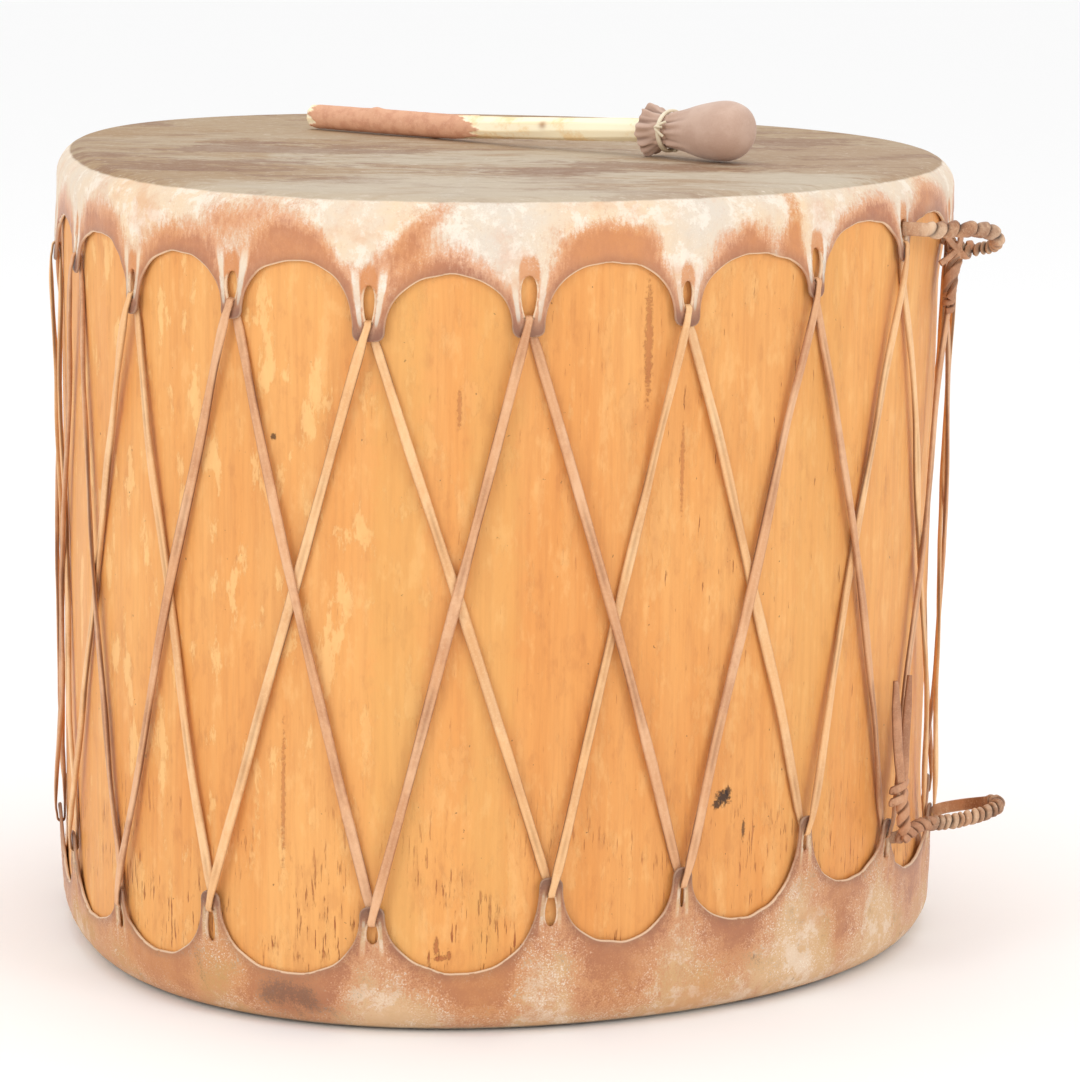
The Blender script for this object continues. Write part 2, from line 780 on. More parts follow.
@dataclass(frozen=True)
class Rawhide(Finish):
    """Dried rawhide: a streaked face, a creamy napped skirt, and a browner, clearer band along its cut.

    The mesh carries how pale, how warm and how stained each place is, and where it lies on its tab.
    """

    face: Colour = (166, 138, 108)
    face_dark: Colour = (128, 88, 62)
    face_pale: Colour = (190, 176, 154)
    face_khaki: Colour = (160, 128, 88)
    face_rim: Colour = (190, 174, 152)
    cream: Colour = (216, 203, 187)
    cream_warm: Colour = (232, 200, 160)
    ember: Colour = (204, 136, 84)
    band: Colour = (172, 114, 86)
    band_pale: Colour = (214, 164, 132)
    orange: Colour = (208, 142, 88)
    grain: Colour = (238, 228, 214)
    lip: Colour = (236, 208, 174)
    stain: Colour = (122, 84, 68)
    hair: float = 1.35
    speck: float = 0.5
    mottle: float = 1.1
    sprinkle: float = 0.35
    tinge: float = 0.45
    nap: float = 0.6
    flame: float = 1.0
    streak_reach: float = 60.0
    streak_spread: float = 0.12
    streak_widen: float = 0.06

    def _streaks_beside_eyelets(self, nodes: Nodes, ragged: Socket) -> tuple[Socket, Socket]:
        """Draw the pale pulls that run down both sides of each eyelet, and the clear flame above it.

        Args:
            nodes: The writer.
            ragged: A fine pattern that frays their edges.

        Returns:
            The masks of the pulls and of the flame.
        """
        aside, above = nodes.mark("aside"), nodes.mark("above")
        past = nodes.math("MAXIMUM", nodes.math("SUBTRACT", above, 8), 0)
        middle = nodes.line(past, self.streak_spread, 0.9)
        half = nodes.line(past, self.streak_widen, 0.95)
        off = nodes.math("DIVIDE", nodes.math("ABSOLUTE", nodes.math("SUBTRACT", aside, middle)), half)
        frayed = nodes.line(ragged, 1.5, nodes.math("SUBTRACT", off, 0.75))
        reach = nodes.ease(above, self.streak_reach, self.streak_reach - 30)
        pulls = nodes.times(nodes.ease(frayed, 1.4, 0.4), nodes.times(reach, nodes.ease(above, 6, 13)))
        crest = nodes.math("ABSOLUTE", nodes.math("SUBTRACT", nodes.mark("crest"), 1))
        high = nodes.math("POWER", nodes.math("DIVIDE", crest, 11), 2)
        beside = nodes.math("MAXIMUM", nodes.math("ADD", aside, 2.2), 0)
        wide = nodes.math("POWER", nodes.math("DIVIDE", beside, 3.6), 2)
        flame = nodes.ease(nodes.line(ragged, 0.9, nodes.math("ADD", high, wide)), 1.9, 1)
        return pulls, nodes.times(flame, self.flame)

    def _face_colour(self, nodes: Nodes, effects: Effects, place: Socket) -> Socket:
        """Colour the flat face: grey and khaki, with streaks the way the hide was stretched.

        Args:
            nodes: The writer.
            effects: The shared groups.
            place: The place on it.

        Returns:
            The colour.
        """
        wander = nodes.add("ShaderNodeTexNoise", {0: place, "Scale": 6, "Detail": 2.0}).outputs["Color"]
        bent = nodes.vector("ADD", place, nodes.drawn(
            nodes.vector("SUBTRACT", wander, (0.5, 0.5, 0.5)), 0, 0.05, 0))
        moved = nodes.vector("ADD", bent, (0.7, 0.2, 0))
        streaks, thin, nicks = (
            nodes.group(effects.streaks, start, (stretch, 1, 1), scale, low, high)
            for start, stretch, scale, low, high in (
                (bent, 0.2, 40.0, 0.46, 0.62), (moved, 0.1, 170.0, 0.55, 0.68), (place, 0.4, 170.0, 0.67, 0.7)))
        smears, patches, brown = (
            nodes.group(effects.cloud, nodes.drawn(start, stretch, 1, 1), scale, low, high, ragged)
            for start, stretch, scale, low, high, ragged in (
                (bent, 0.4, 8.5, 0.42, 0.6, 0.5), (place, 0.6, 13.0, 0.5, 0.62, 0.4),
                (bent, 0.5, 14.0, 0.52, 0.58, 0.5)))
        x, y, _ = nodes.apart(place)
        left = nodes.ease(nodes.line(smears, 0.12, x), 0.06, -0.2)
        back = nodes.ease(nodes.line(smears, 0.1, y), 0.02, 0.24)
        front = nodes.ease(nodes.line(smears, -0.12, y), -0.17, -0.33, 0, 0.55)
        grain = nodes.noise(nodes.drawn(place, 0.35, 1, 1), 420, 4, 0.7)
        return nodes.lay(
            self.face, (smears, 0.85, self.face_pale),
            (nodes.math("MAXIMUM", left, back), 0.7, self.face_khaki), (brown, 0.6, self.face_dark),
            (nodes.times(streaks, patches), 0.6, self.face_dark), (thin, 0.4, self.face_dark),
            (front, self.face_rim),
            (nodes.ease(grain, 0.52, 0.7, 0, 0.4), self.cream), (nicks, 0.85, self.cream))

    def _skirt_colour(self, nodes: Nodes, place: Socket, blotch: Socket) -> tuple[Socket, Socket]:
        """Colour the skirt.

        Args:
            nodes: The writer.
            place: The place on it.
            blotch: The broad mottling.

        Returns:
            The colour, and how napped and pale each place is.
        """
        edge = nodes.mark("edge")
        hairs = nodes.noise(nodes.drawn(place, 1, 1, 0.3), 400, 5, 0.7)
        specks = nodes.noise(place, 900, 3, 0.65)
        fine = nodes.sway(hairs, self.hair, nodes.times(nodes.math("SUBTRACT", specks, 0.5), self.speck))
        ragged = nodes.sway(blotch, self.mottle, fine)
        pulls, flame = self._streaks_beside_eyelets(nodes, nodes.line(ragged, 0.7, 0.5))
        napped = nodes.math("MAXIMUM", nodes.math("ADD", nodes.mark("pale"), ragged),
                            nodes.line(ragged, 0.5, nodes.times(pulls, 1.1)))
        napped = nodes.math("SUBTRACT", napped, nodes.times(flame, 0.25))
        pale = nodes.ease(napped, 0.3, 0.95)
        tone = nodes.sway(blotch, 1.3, nodes.mark("warm"), clamp=True)
        deep = nodes.lay(self.band, (tone, 0.85, self.ember))
        clear = nodes.mix(tone, self.band_pale, self.orange)
        gathered = nodes.ease(nodes.noise(place, 30, 6, 0.7, 0.3), 0.4, 0.62)
        sprinkle = nodes.times(nodes.ease(specks, 0.53, 0.66, 0, self.sprinkle),
                               nodes.times(gathered, nodes.ease(napped, 0, 0.6)))
        nap = nodes.times(nodes.ease(nodes.noise(place, 46, 9, 0.75, 0.2), 0.5, 0.58, 0, self.nap),
                          nodes.math("SUBTRACT", pale, flame, clamp=True))
        tinge = nodes.ease(nodes.noise(place, 24, 8, 0.72), 0.48, 0.68, 0, self.tinge)
        pores = nodes.ease(nodes.noise(place, 520, 4, 0.7), 0.6, 0.72, 0, 0.22)
        stained = nodes.line(ragged, 1.2, nodes.mark("stain"), clamp=True)
        crown = nodes.ease(nodes.mark("aside"), 5, 20, 0.2, 0.8)
        beside = nodes.times(nodes.ease(nodes.mark("hole"), 1.7, 0.5, 0, 0.85),
                             nodes.ease(nodes.mark("crest"), -0.5, -5))
        lips = nodes.math("MAXIMUM", nodes.times(nodes.ease(edge, 1.2, 0.3), crown), beside)
        return nodes.lay(
            deep, (nodes.ease(napped, -0.1, 0.42), clear),
            (pale, nodes.mix(tone, self.cream, self.cream_warm)), (flame, 0.85, self.ember),
            (sprinkle, self.grain), (nap, self.grain), (tinge, clear), (pores, self.band),
            (nodes.ease(edge, 8, 0, 0, 0.3), self.stain),
            (nodes.ease(stained, 0.2, 0.95, 0, 0.75), self.stain),
            (nodes.ease(nodes.mark("above"), 17, 2), 0.72, self.stain), (lips, self.lip)), pale

    def _paint(self, nodes: Nodes, effects: Effects, place: Socket) -> None:
        """Write down the skin: the face inside the rim, the skirt outside it.

        Args:
            nodes: The writer.
            effects: The shared groups.
            place: The place on it.
        """
        blotch = nodes.noise(place, 42, 8, 0.7, 0.3)
        skin, pale = self._skirt_colour(nodes, place, blotch)
        turned = nodes.ease(nodes.sway(blotch, 0.5, nodes.mark("skirt")), 0.35, 0.65)
        colour = nodes.mix(turned, self._face_colour(nodes, effects, place), skin)
        relief = nodes.group(effects.relief, place, (1, 1, 1), 60, 600, 0.45)
        height = nodes.math("ADD", relief, nodes.times(pale, 0.35))
        self._end(nodes, colour, height, nodes.ease(pale, 0, 1, self.rough - 0.12, self.rough + 0.15),
                  Specular_IOR_Level=0.35)


@dataclass(frozen=True)
class Thong(Finish):
    """A dried hide strip: one colour blotched with a paler and a darker one."""

    base: Colour = (214, 160, 108)
    pale: Colour = (240, 208, 164)
    dark: Colour = (150, 92, 58)
    dark_share: float = 0.5
    pale_share: float = 0.5
    gap: Colour = (84, 46, 24)

    def _paint(self, nodes: Nodes, effects: Effects, place: Socket) -> None:
        """Write down the strip.

        Args:
            nodes: The writer.
            effects: The shared groups.
            place: The place on it.
        """
        blotch = nodes.group(effects.cloud, nodes.drawn(place, 1, 1, 0.4), 34, 0.4, 0.66, 0.4)
        shade = nodes.group(effects.cloud, nodes.vector("ADD", place, (3.1, 1.7, 0.4)), 24, 0.42, 0.66, 0.35)
        speckle = nodes.ease(nodes.noise(place, 800, 3, 0.7), 0.5, 0.7)
        colour = nodes.lay(
            self.base, (blotch, self.pale_share, self.pale), (shade, self.dark_share, self.dark),
            (speckle, 0.3, self.pale), (nodes.mark("ridge"), 0.45, self.pale), (nodes.mark("gap"), self.gap))
        relief = nodes.group(effects.relief, place, (1, 1, 0.5), 160, 900, 0.6)
        self._end(nodes, colour, relief, Specular_IOR_Level=0.35)


@dataclass(frozen=True)
class StickWood(Finish):
    """A branch with its bark on at the grip, knife-cut past it."""

    bark: Colour = (220, 168, 136)
    bark_dark: Colour = (196, 136, 108)
    bark_pale: Colour = (232, 190, 162)
    wood: Colour = (255, 244, 212)
    wood_warm: Colour = (244, 208, 148)
    cut: Colour = (156, 98, 54)

    def _paint(self, nodes: Nodes, effects: Effects, place: Socket) -> None:
        """Write down the branch: bark where the mesh says, and bare wood elsewhere.

        Args:
            nodes: The writer.
            effects: The shared groups.
            place: The place on it.
        """
        barked = nodes.mark("bark")
        mottle = nodes.group(effects.cloud, place, 150, 0.42, 0.64, 0.5)
        pits = nodes.ease(nodes.noise(place, 700, 4, 0.7), 0.52, 0.68)
        bark = nodes.lay(self.bark, (mottle, 0.5, self.bark_dark), (pits, 0.4, self.bark_pale))
        warm = nodes.group(effects.cloud, place, 48, 0.5, 0.66, 0.3)
        lines = nodes.ease(nodes.mark("facet"), 0.75, 1)
        wood = nodes.lay(self.wood, (warm, 0.7, self.wood_warm), (lines, 0.35, self.wood_warm),
                         (nodes.mark("knot"), self.cut))
        relief = nodes.group(effects.relief, place, (1, 1, 1), 200, 900, 0.5)
        height = nodes.times(relief, nodes.ease(barked, 0, 1, 0.25, 1))
        self._end(nodes, nodes.mix(barked, wood, bark), height, nodes.ease(barked, 0, 1, 0.5, 0.8),
                  Specular_IOR_Level=0.3)


@dataclass(frozen=True)
class Buckskin(Finish):
    """Soft napped leather, darker in its folds."""

    base: Colour = (192, 160, 142)
    pale: Colour = (214, 186, 168)
    fold: Colour = (92, 64, 52)

    def _paint(self, nodes: Nodes, effects: Effects, place: Socket) -> None:
        """Write down the leather.

        Args:
            nodes: The writer.
            effects: The shared groups.
            place: The place on it.
        """
        blotch = nodes.group(effects.cloud, place, 60, 0.38, 0.66, 0.3)
        nap = nodes.ease(nodes.noise(place, 1500, 3, 0.7), 0.35, 0.75, 0, 0.25)
        colour = nodes.lay(self.base, (blotch, 0.45, self.pale), (nap, self.pale),
                           (nodes.mark("fold"), 0.85, self.fold))
        relief = nodes.group(effects.relief, place, (1, 1, 1), 260, 1400, 0.7)
        self._end(nodes, colour, relief, Sheen_Weight=0.25, Sheen_Roughness=0.5, Specular_IOR_Level=0.25)


@dataclass(frozen=True)
class StudioFloor(Finish):
    """A plain pale floor."""

    tone: Colour = (250, 250, 250)
    tone_low: Colour = (236, 236, 236)

    def _paint(self, nodes: Nodes, effects: Effects, place: Socket) -> None:
        """Write down the floor."""
        drift = nodes.noise(place, 0.7, 2)
        self._end(nodes, nodes.lay(self.tone, (drift, 0.03, self.tone_low)), drift)


# ---- The trunk ----


@dataclass
class LogShell:
    """The hollow peeled log: knife-dressed outside, rounded at both rims, rough inside."""

    trunk: Trunk
    material: Material
    columns: int = 440
    row_step: float = 4.4
    bore_rows: int = 6
    flat_at: float = 86.0
    flat_spread: float = 15.0
    flat_depth: float = 5.5
    chamfer: float = 3.0

    def _rim(self, plan: HeadPlan) -> list[tuple[float, float]]:
        """List the steps over a rounded rim, from the wall to the bore, as height and distance out.

        Args:
            plan: The head on that rim.

        Returns:
            Each step's height and distance out.
        """
        edge = plan.face + plan.away * UNDER
        steps = np.radians(np.linspace(0, 90, 7))
        over = [(edge + plan.away * (plan.rim - plan.rim * math.sin(t)), plan.rim * math.cos(t) - plan.rim)
                for t in steps]
        return [*over, (edge, self.chamfer - self.trunk.wall),
                (edge + plan.away * self.chamfer, -self.trunk.wall)]

    def build(self) -> Object:
        """Make the piece.

        Returns:
            The trunk, replacing its plain solid.
        """
        low, high = self._rim(BOTTOM), self._rim(TOP)
        wall = np.arange(low[0][0] + self.row_step, high[0][0], self.row_step)
        bore = np.linspace(high[-1][0], low[-1][0], self.bore_rows + 2)[1:-1]
        rows = np.array([*low[::-1], *[(z, 0.0) for z in wall], *high,
                         *[(z, -self.trunk.wall) for z in bore]])
        angle = np.arange(self.columns) * 360.0 / self.columns
        z = np.repeat(rows[:, :1], self.columns, axis=1)
        out = np.repeat(rows[:, 1:], self.columns, axis=1)
        plain = self.trunk.place(angle[None, :], z, out)
        swell = ripple(plain * (1, 1, 0.12), 46.0, 3) * 0.28 + ripple(plain * (1, 1, 0.3), 14.0, 4) * 0.1
        outside = (rows[:, 1] > -self.trunk.wall + 1.0)[:, None]
        flat = np.exp(-((angle - self.flat_at) / self.flat_spread) ** 2)[None, :] * smooth(z, 40, 110) * (
            1 - smooth(z, 440, 500))
        cut = np.where(outside, -0.36 + swell - self.flat_depth * flat, ripple(plain, 60.0, 5) * 0.8)
        points = self.trunk.place(angle[None, :], z, out + cut).reshape(-1, 3)
        faces = grid_faces(len(rows), self.columns, wrap_rows=True)
        return make_piece(Label("log_shell", "shell", "log_wood"), points, faces, self.material)


# ---- The heads ----


@dataclass(frozen=True)
class Patch:
    """A soft-edged patch on a skirt, at an angle and a depth, that leans over as it gets deeper."""

    angle: float
    depth: float
    half_width: float
    half_depth: float
    amount: float
    lean: float = 0.0


def patches(*rows: tuple[float, ...]) -> tuple[Patch, ...]:
    """Make patches from rows of their values."""
    return tuple(Patch(*row) for row in rows)


@dataclass
class RawhideHead:
    """A rawhide head: flat face, rounded rim, and a skirt cut into tabs with an eyelet in each."""

    trunk: Trunk
    plan: HeadPlan
    material: Material
    label: Label
    columns: int = 360
    cap_rings: int = 34
    band: tuple[float, float] = (11.0, 16.0)
    fade: float = 19.0
    warmth: float = 0.3
    tab_lift: float = 2.6
    arch_lift: float = 0.7
    pucker: float = 0.6
    uneven: float = 0.22
    pale: tuple[Patch, ...] = ()
    warm: tuple[Patch, ...] = ()
    stain: tuple[Patch, ...] = ()
    mesh_step: float = 2.7
    tip_round: float = 5.6
    tabs: list[Tab] = field(init=False)
    seam: float = field(init=False)
    edge: Array = field(init=False)
    holes: list[Array] = field(init=False)
    edge_tree: kdtree.KDTree = field(init=False)
    hole_tree: kdtree.KDTree = field(init=False)

    def __post_init__(self) -> None:
        """Find the tabs, starting from a seam in the middle of an arch at the back, and draw the cuts."""
        self.tabs = [self.plan.tab(k) for k in range(10, 30)]
        self.seam = (self.plan.tab(9).angle + self.tabs[0].angle) / 2
        self.edge = self._edge()
        self.holes = [self._eyelet(tab) for tab in self.tabs]
        self.edge_tree = self._tree(self.edge)
        self.hole_tree = self._tree(np.vstack(self.holes))

    @staticmethod
    def _tree(points: Array) -> kdtree.KDTree:
        """Sort flat points for finding the nearest.

        Args:
            points: The points, in two columns.

        Returns:
            The sorted tree.
        """
        tree = kdtree.KDTree(len(points))
        for i, point in enumerate(points):
            tree.insert((point[0], point[1], 0.0), i)
        tree.balance()
        return tree

    @staticmethod
    def _far(flat: Array, tree: kdtree.KDTree) -> Array:
        """Say how far flat points are from the nearest point of a tree."""
        return np.array([tree.find((x, y, 0.0))[2] for x, y in flat])

    def _marks(self, flat: Array, skirt: Array) -> dict[str, Array]:
        """Work out what the finish reads at each place.

        Args:
            flat: Points with the distance along from the seam and the depth.
            skirt: 0 on the face, 1 on the skirt.

        Returns:
            Named values.
        """
        angle = self.seam + flat[:, 0] / PER_DEGREE
        depth = flat[:, 1]
        off, tip, number = self._near_tab(angle)
        aside = np.abs(off) * PER_DEGREE
        slits = np.array([t.slit for t in self.tabs])[number]
        slots = np.array([t.slot for t in self.tabs])[number]
        edge = self._far(flat, self.edge_tree)
        band = blend(self.band[0], self.band[1], smooth(aside, 8.0, 30.0))
        fields = {"pale": np.clip(0.5 + (edge - band) / self.fade, -0.05, 1.05),
                  "warm": np.full(len(flat), self.warmth), "stain": np.zeros(len(flat))}
        for name, patches in (("pale", self.pale), ("warm", self.warm), ("stain", self.stain)):
            for patch in patches:
                round_off = degrees_off(angle, patch.angle)
                across = (round_off * PER_DEGREE + patch.lean * (depth - patch.depth)) / patch.half_width
                deeper = (depth - patch.depth) / patch.half_depth
                fields[name] += patch.amount * np.exp(-across ** 2 - deeper ** 2)
        fields.update(edge=edge, hole=self._far(flat, self.hole_tree), aside=aside - slits / 2,
                      above=tip - depth, crest=tip - depth - self.plan.from_tip - slots, skirt=skirt)
        return fields

    def _near_tab(self, angle: Array) -> tuple[Array, Array, Array]:
        """Find the nearest tab: how far off it is in degrees, its tip's depth, and its number.

        Args:
            angle: Degrees round the trunk.

        Returns:
            The degrees off it, its tip's depth and its number.
        """
        middles = np.array([t.angle for t in self.tabs])
        off = degrees_off(angle[..., None], middles)
        nearest = np.abs(off).argmin(axis=-1)
        tips = np.array([t.tip for t in self.tabs])
        return np.take_along_axis(off, nearest[..., None], -1)[..., 0], tips[nearest], nearest

    def lift(self, angle: Array, depth: Array) -> Array:
        """Say how far the skirt stands off the trunk: most at the tabs, which a thong passes behind.

        Args:
            angle: Degrees round the trunk.
            depth: Depths from the face.

        Returns:
            Distances out.
        """
        off, tip, _ = self._near_tab(angle)
        start = UNDER + self.plan.rim
        eyelet = tip - self.plan.from_tip
        rise = np.clip((depth - start) / (eyelet - start), 0, 1)
        tab = self.tab_lift * rise ** 1.3 + 0.7 * np.clip((depth - eyelet) / self.plan.from_tip, 0, 1.4)
        arch = self.arch_lift * smooth(depth, start, 60.0)
        return blend(tab, arch, smooth(np.abs(off), 1.1, 6.3))

    def _relief(self, angle: Array, depth: Array) -> Array:
        """Puckers that run from each eyelet up over the rim, and a little unevenness.

        Args:
            angle: Degrees round the trunk.
            depth: Depths from the face.

        Returns:
            Distances out.
        """
        off, tip, number = self._near_tab(angle)
        aside = off * PER_DEGREE
        near = np.exp(-(aside / 17.0) ** 2) * smooth(depth, 2.0, 30.0) * (1 - smooth(depth, tip - 26, tip - 6))
        puckers = np.cos(2 * math.pi * aside / 10.5 + number * 1.7) * near
        laid = table(angle * PER_DEGREE, depth * 1.4, 0.0)
        seed = 11 if self.plan.side is Side.TOP else 12
        return self.pucker * puckers + self.uneven * ripple(laid, 24.0, seed)

    def _skirt_points(self, flat: Array, layer: Array) -> Array:
        """Wrap the skirt's flat layout round the trunk.

        Args:
            flat: Points with the distance along from the seam and the depth.
            layer: 0 on the inner side of the skin, 1 on the outer.

        Returns:
            Points in space.
        """
        angle = self.seam + flat[:, 0] / PER_DEGREE
        depth = flat[:, 1]
        join = smooth(depth, UNDER + self.plan.rim, UNDER + self.plan.rim + 4)
        out = CLEARANCE + self.lift(angle, depth) + layer * (SKIN + self._relief(angle, depth) * join)
        return self.trunk.place(angle, self.plan.face + self.plan.away * depth, out)

    def _edge(self) -> Array:
        """Draw the cut edge of the laid-out skirt, from the seam all the way round.

        Returns:
            Distances along and depths, in two columns.
        """
        parts = []
        arches = [self.plan.tab(9).arch, *[t.arch for t in self.tabs]]
        middles = [self.seam, *[(a.angle + b.angle) / 2 for a, b in zip(self.tabs, self.tabs[1:])],
                   self.seam + 360.0]
        turn = np.radians(np.linspace(0, 90, 22))
        for i, tab in enumerate(self.tabs):
            middle = (tab.angle - self.seam) * PER_DEGREE
            rounding = min(self.tip_round, 0.4 * tab.width)
            spring = tab.tip - rounding
            sides = []
            for bound, crown in ((middles[i], arches[i]), (middles[i + 1], arches[i + 1])):
                from_x = (bound - self.seam) * PER_DEGREE
                sign = 1 if from_x < middle else -1
                reach = middle - sign * tab.width / 2 - from_x
                sides.append(table(from_x + reach * np.sin(turn) ** 0.96,
                                   spring - (spring - crown) * np.cos(turn) ** 0.9))
            bend = np.radians(np.linspace(0, 90, 5)[1:])
            half = tab.width / 2
            corner = table(middle - half + rounding * (1 - np.cos(bend)), spring + rounding * np.sin(bend))
            mirrored = table(2 * middle - corner[::-1, 0], corner[::-1, 1])
            parts += [sides[0] if i == 0 else sides[0][1:], corner, mirrored, sides[1][::-1]]
        edge = np.vstack(parts)
        turns = np.radians(edge[:, 0] / PER_DEGREE + self.seam)
        wobble = sum(np.sin(n * turns + s) for n, s in ((31, 0.4), (47, 2.1), (83, 4.0), (117, 1.3))) * 0.22
        edge[:, 1] += wobble
        return edge

    def _eyelet(self, tab: Tab) -> Array:
        """Draw one eyelet: a drop, drawn narrow where its thong pulls and round at its far end.

        Args:
            tab: Its tab.

        Returns:
            Distances along and depths, in two columns.
        """
        turn = np.radians(np.arange(0, 360, 18))
        pulled = tab.tip - self.plan.from_tip
        down = (1 - np.cos(turn)) / 2
        width = tab.slit / 2 * np.sin(turn) * (0.62 + 0.62 * down)
        return table((tab.angle - self.seam) * PER_DEGREE + width, pulled - tab.slot * down)

    def _skirt(self, top: float) -> Form:
        """Fill the laid-out skirt with triangles between its top line, its cut edge and its eyelets.

        Args:
            top: The depth of its top line.

        Returns:
            Flat points and triangles.
        """
        full = 360.0 * PER_DEGREE
        edge = self.edge.copy()
        line = table(np.linspace(0, full, self.columns + 1), top)
        down = np.arange(top + self.mesh_step, edge[0, 1] - 1.5, self.mesh_step)
        right = table(full, down)
        left = table(0.0, down[::-1])
        edge[-1, 1] = edge[0, 1]
        outline = np.vstack([line, right, edge[::-1], left])
        holes = self.holes
        inset = []
        for loop, ring in ((edge, False), *[(hole, True) for hole in holes]):
            way = unit(np.gradient(loop, axis=0))
            aside = unit(loop - loop.mean(axis=0)) if ring else np.stack([way[:, 1], -way[:, 0]], axis=1)
            inset.append((loop + aside * 0.9)[slice(None) if ring else slice(2, -2)])
        xs = np.arange(self.mesh_step, full - 1.0, self.mesh_step)
        ys = np.arange(top + self.mesh_step * 0.8, max(t.tip for t in self.tabs), self.mesh_step * 0.87)
        grid = np.array([(x + 0.5 * self.mesh_step * (j % 2), y) for j, y in enumerate(ys) for x in xs])
        grid = grid[grid[:, 0] < full - 1.0]
        far = np.minimum(self._far(grid, self.edge_tree), self._far(grid, self.hole_tree))
        inner = np.vstack([*inset, grid[far > 1.9]])
        inner = inner[self._inside(inner, outline, holes)]
        points = np.vstack([outline, *holes, inner])
        loops = [list(range(len(outline)))]
        start = len(outline)
        for hole in holes:
            loops.append(list(range(start, start + len(hole))))
            start += len(hole)
        filled = geometry.delaunay_2d_cdt([Vector(p) for p in points.tolist()], [], loops, 2, 1e-4)
        return np.array([tuple(v) for v in filled[0]]), [tuple(face) for face in filled[2]]

    @staticmethod
    def _inside(points: Array, outline: Array, holes: list[Array]) -> Array:
        """Say which points lie inside the outline and outside every hole.

        Args:
            points: Flat points.
            outline: The skirt's outline.
            holes: The eyelets.

        Returns:
            Yes or no for each.
        """
        def within(loop: Array, chosen: Array) -> Array:
            """Count how often a ray from each point crosses the loop.

            Args:
                loop: A closed line.
                chosen: Flat points.

            Returns:
                Whether each point is inside.
            """
            x, y = chosen[:, :1], chosen[:, 1:]
            start, end = loop, np.roll(loop, -1, axis=0)
            spans = (start[:, 1] > y) != (end[:, 1] > y)
            rise = np.where(end[:, 1] == start[:, 1], 1e-9, end[:, 1] - start[:, 1])
            cross = start[:, 0] + (y - start[:, 1]) * (end[:, 0] - start[:, 0]) / rise
            return (spans & (x < cross)).sum(axis=1) % 2 == 1

        kept = within(outline, points)
        for hole in holes:
            near = np.abs(points[:, 0] - hole[:, 0].mean()) < 12.0
            kept[near] &= ~within(hole, points[near])
        return kept

    def _cap(self, layer: int, rings: int) -> tuple[Array, list, Array]:
        """Make one side of the flat face and the rounded rim.

        Args:
            layer: 0 for the inner side of the skin, 1 for the outer.
            rings: How many rings the flat face has.

        Returns:
            Points, faces, and each point's depth.
        """
        plan = self.plan
        angle = self.seam + np.arange(self.columns) * 360.0 / self.columns
        bend = plan.rim + CLEARANCE + layer * SKIN
        turns = np.radians(np.linspace(90, 0, 9))
        face_depth = UNDER + plan.rim - bend
        reach = self.trunk.radius_at(angle, plan.face) - plan.rim
        rows = []
        depths = []
        for share in np.linspace(0.02, 1, rings)[:-1]:
            spot = polar(angle, reach * share, plan.face + plan.away * face_depth)
            sunk = 0.35 + 0.3 * ripple(spot * (1, 1, 0), 70.0, 21) if layer else 0.0
            spot[:, 2] += plan.away * sunk * smooth(1 - share, 0.0, 0.12)
            rows.append(spot)
            depths.append(np.zeros(self.columns))
        for turn in turns:
            depth = np.full(self.columns, UNDER + plan.rim - bend * math.sin(turn))
            out = bend * math.cos(turn) - plan.rim
            bump = self._relief(angle, depth) * layer * math.cos(turn) * smooth(depth, 0.0, 12.0)
            bump = bump * (1 - smooth(depth, UNDER + plan.rim - 4, UNDER + plan.rim))
            rows.append(self.trunk.place(angle, plan.face + plan.away * depth, out + bump))
            depths.append(depth)
        points = np.vstack(rows)
        middle = points[:self.columns].mean(axis=0)
        faces = grid_faces(len(rows), self.columns)
        faces += [(j, (j + 1) % self.columns, len(points)) for j in range(self.columns)]
        return np.vstack([points, middle]), faces, np.append(np.concatenate(depths), 0.0)

    def build(self) -> Object:
        """Make the piece.

        Returns:
            The head, replacing its plain solid.
        """
        top = UNDER + self.plan.rim
        flat, triangles = self._skirt(top)
        count = len(flat)
        fields = self._marks(flat, np.ones(count))
        cut = np.minimum(fields["edge"], fields["hole"]) < 0.02
        outer = self._skirt_points(flat, np.where(cut, 0.7, 1.0))
        inner = self._skirt_points(flat, np.where(cut, 0.2, 0.0))
        directed = {(a, b) for f in triangles for a, b in zip(f, f[1:] + f[:1])}
        walls = [(a, b, b + count, a + count) for a, b in directed
                 if (b, a) not in directed and cut[a] and cut[b]]
        skirt_faces = triangles + [tuple(i + count for i in f[::-1]) for f in triangles] + walls
        parts = [(np.vstack([outer, inner]), skirt_faces)]
        marks = [fields, fields]
        around = np.arange(self.columns) * 360.0 / self.columns * PER_DEGREE
        for layer, rings in ((1, self.cap_rings), (0, 8)):
            points, faces, depth = self._cap(layer, rings)
            parts.append((points, faces))
            along = np.append(np.tile(around, len(depth) // self.columns), 0.0)
            marks.append(self._marks(table(along, depth), smooth(depth, 1.4, 5.0)))
        points, faces = join_parts(parts)
        marks = {name: np.concatenate([part[name] for part in marks]) for name in fields}
        return make_piece(self.label, points, faces, self.material, marks)


# ---- The lacing ----


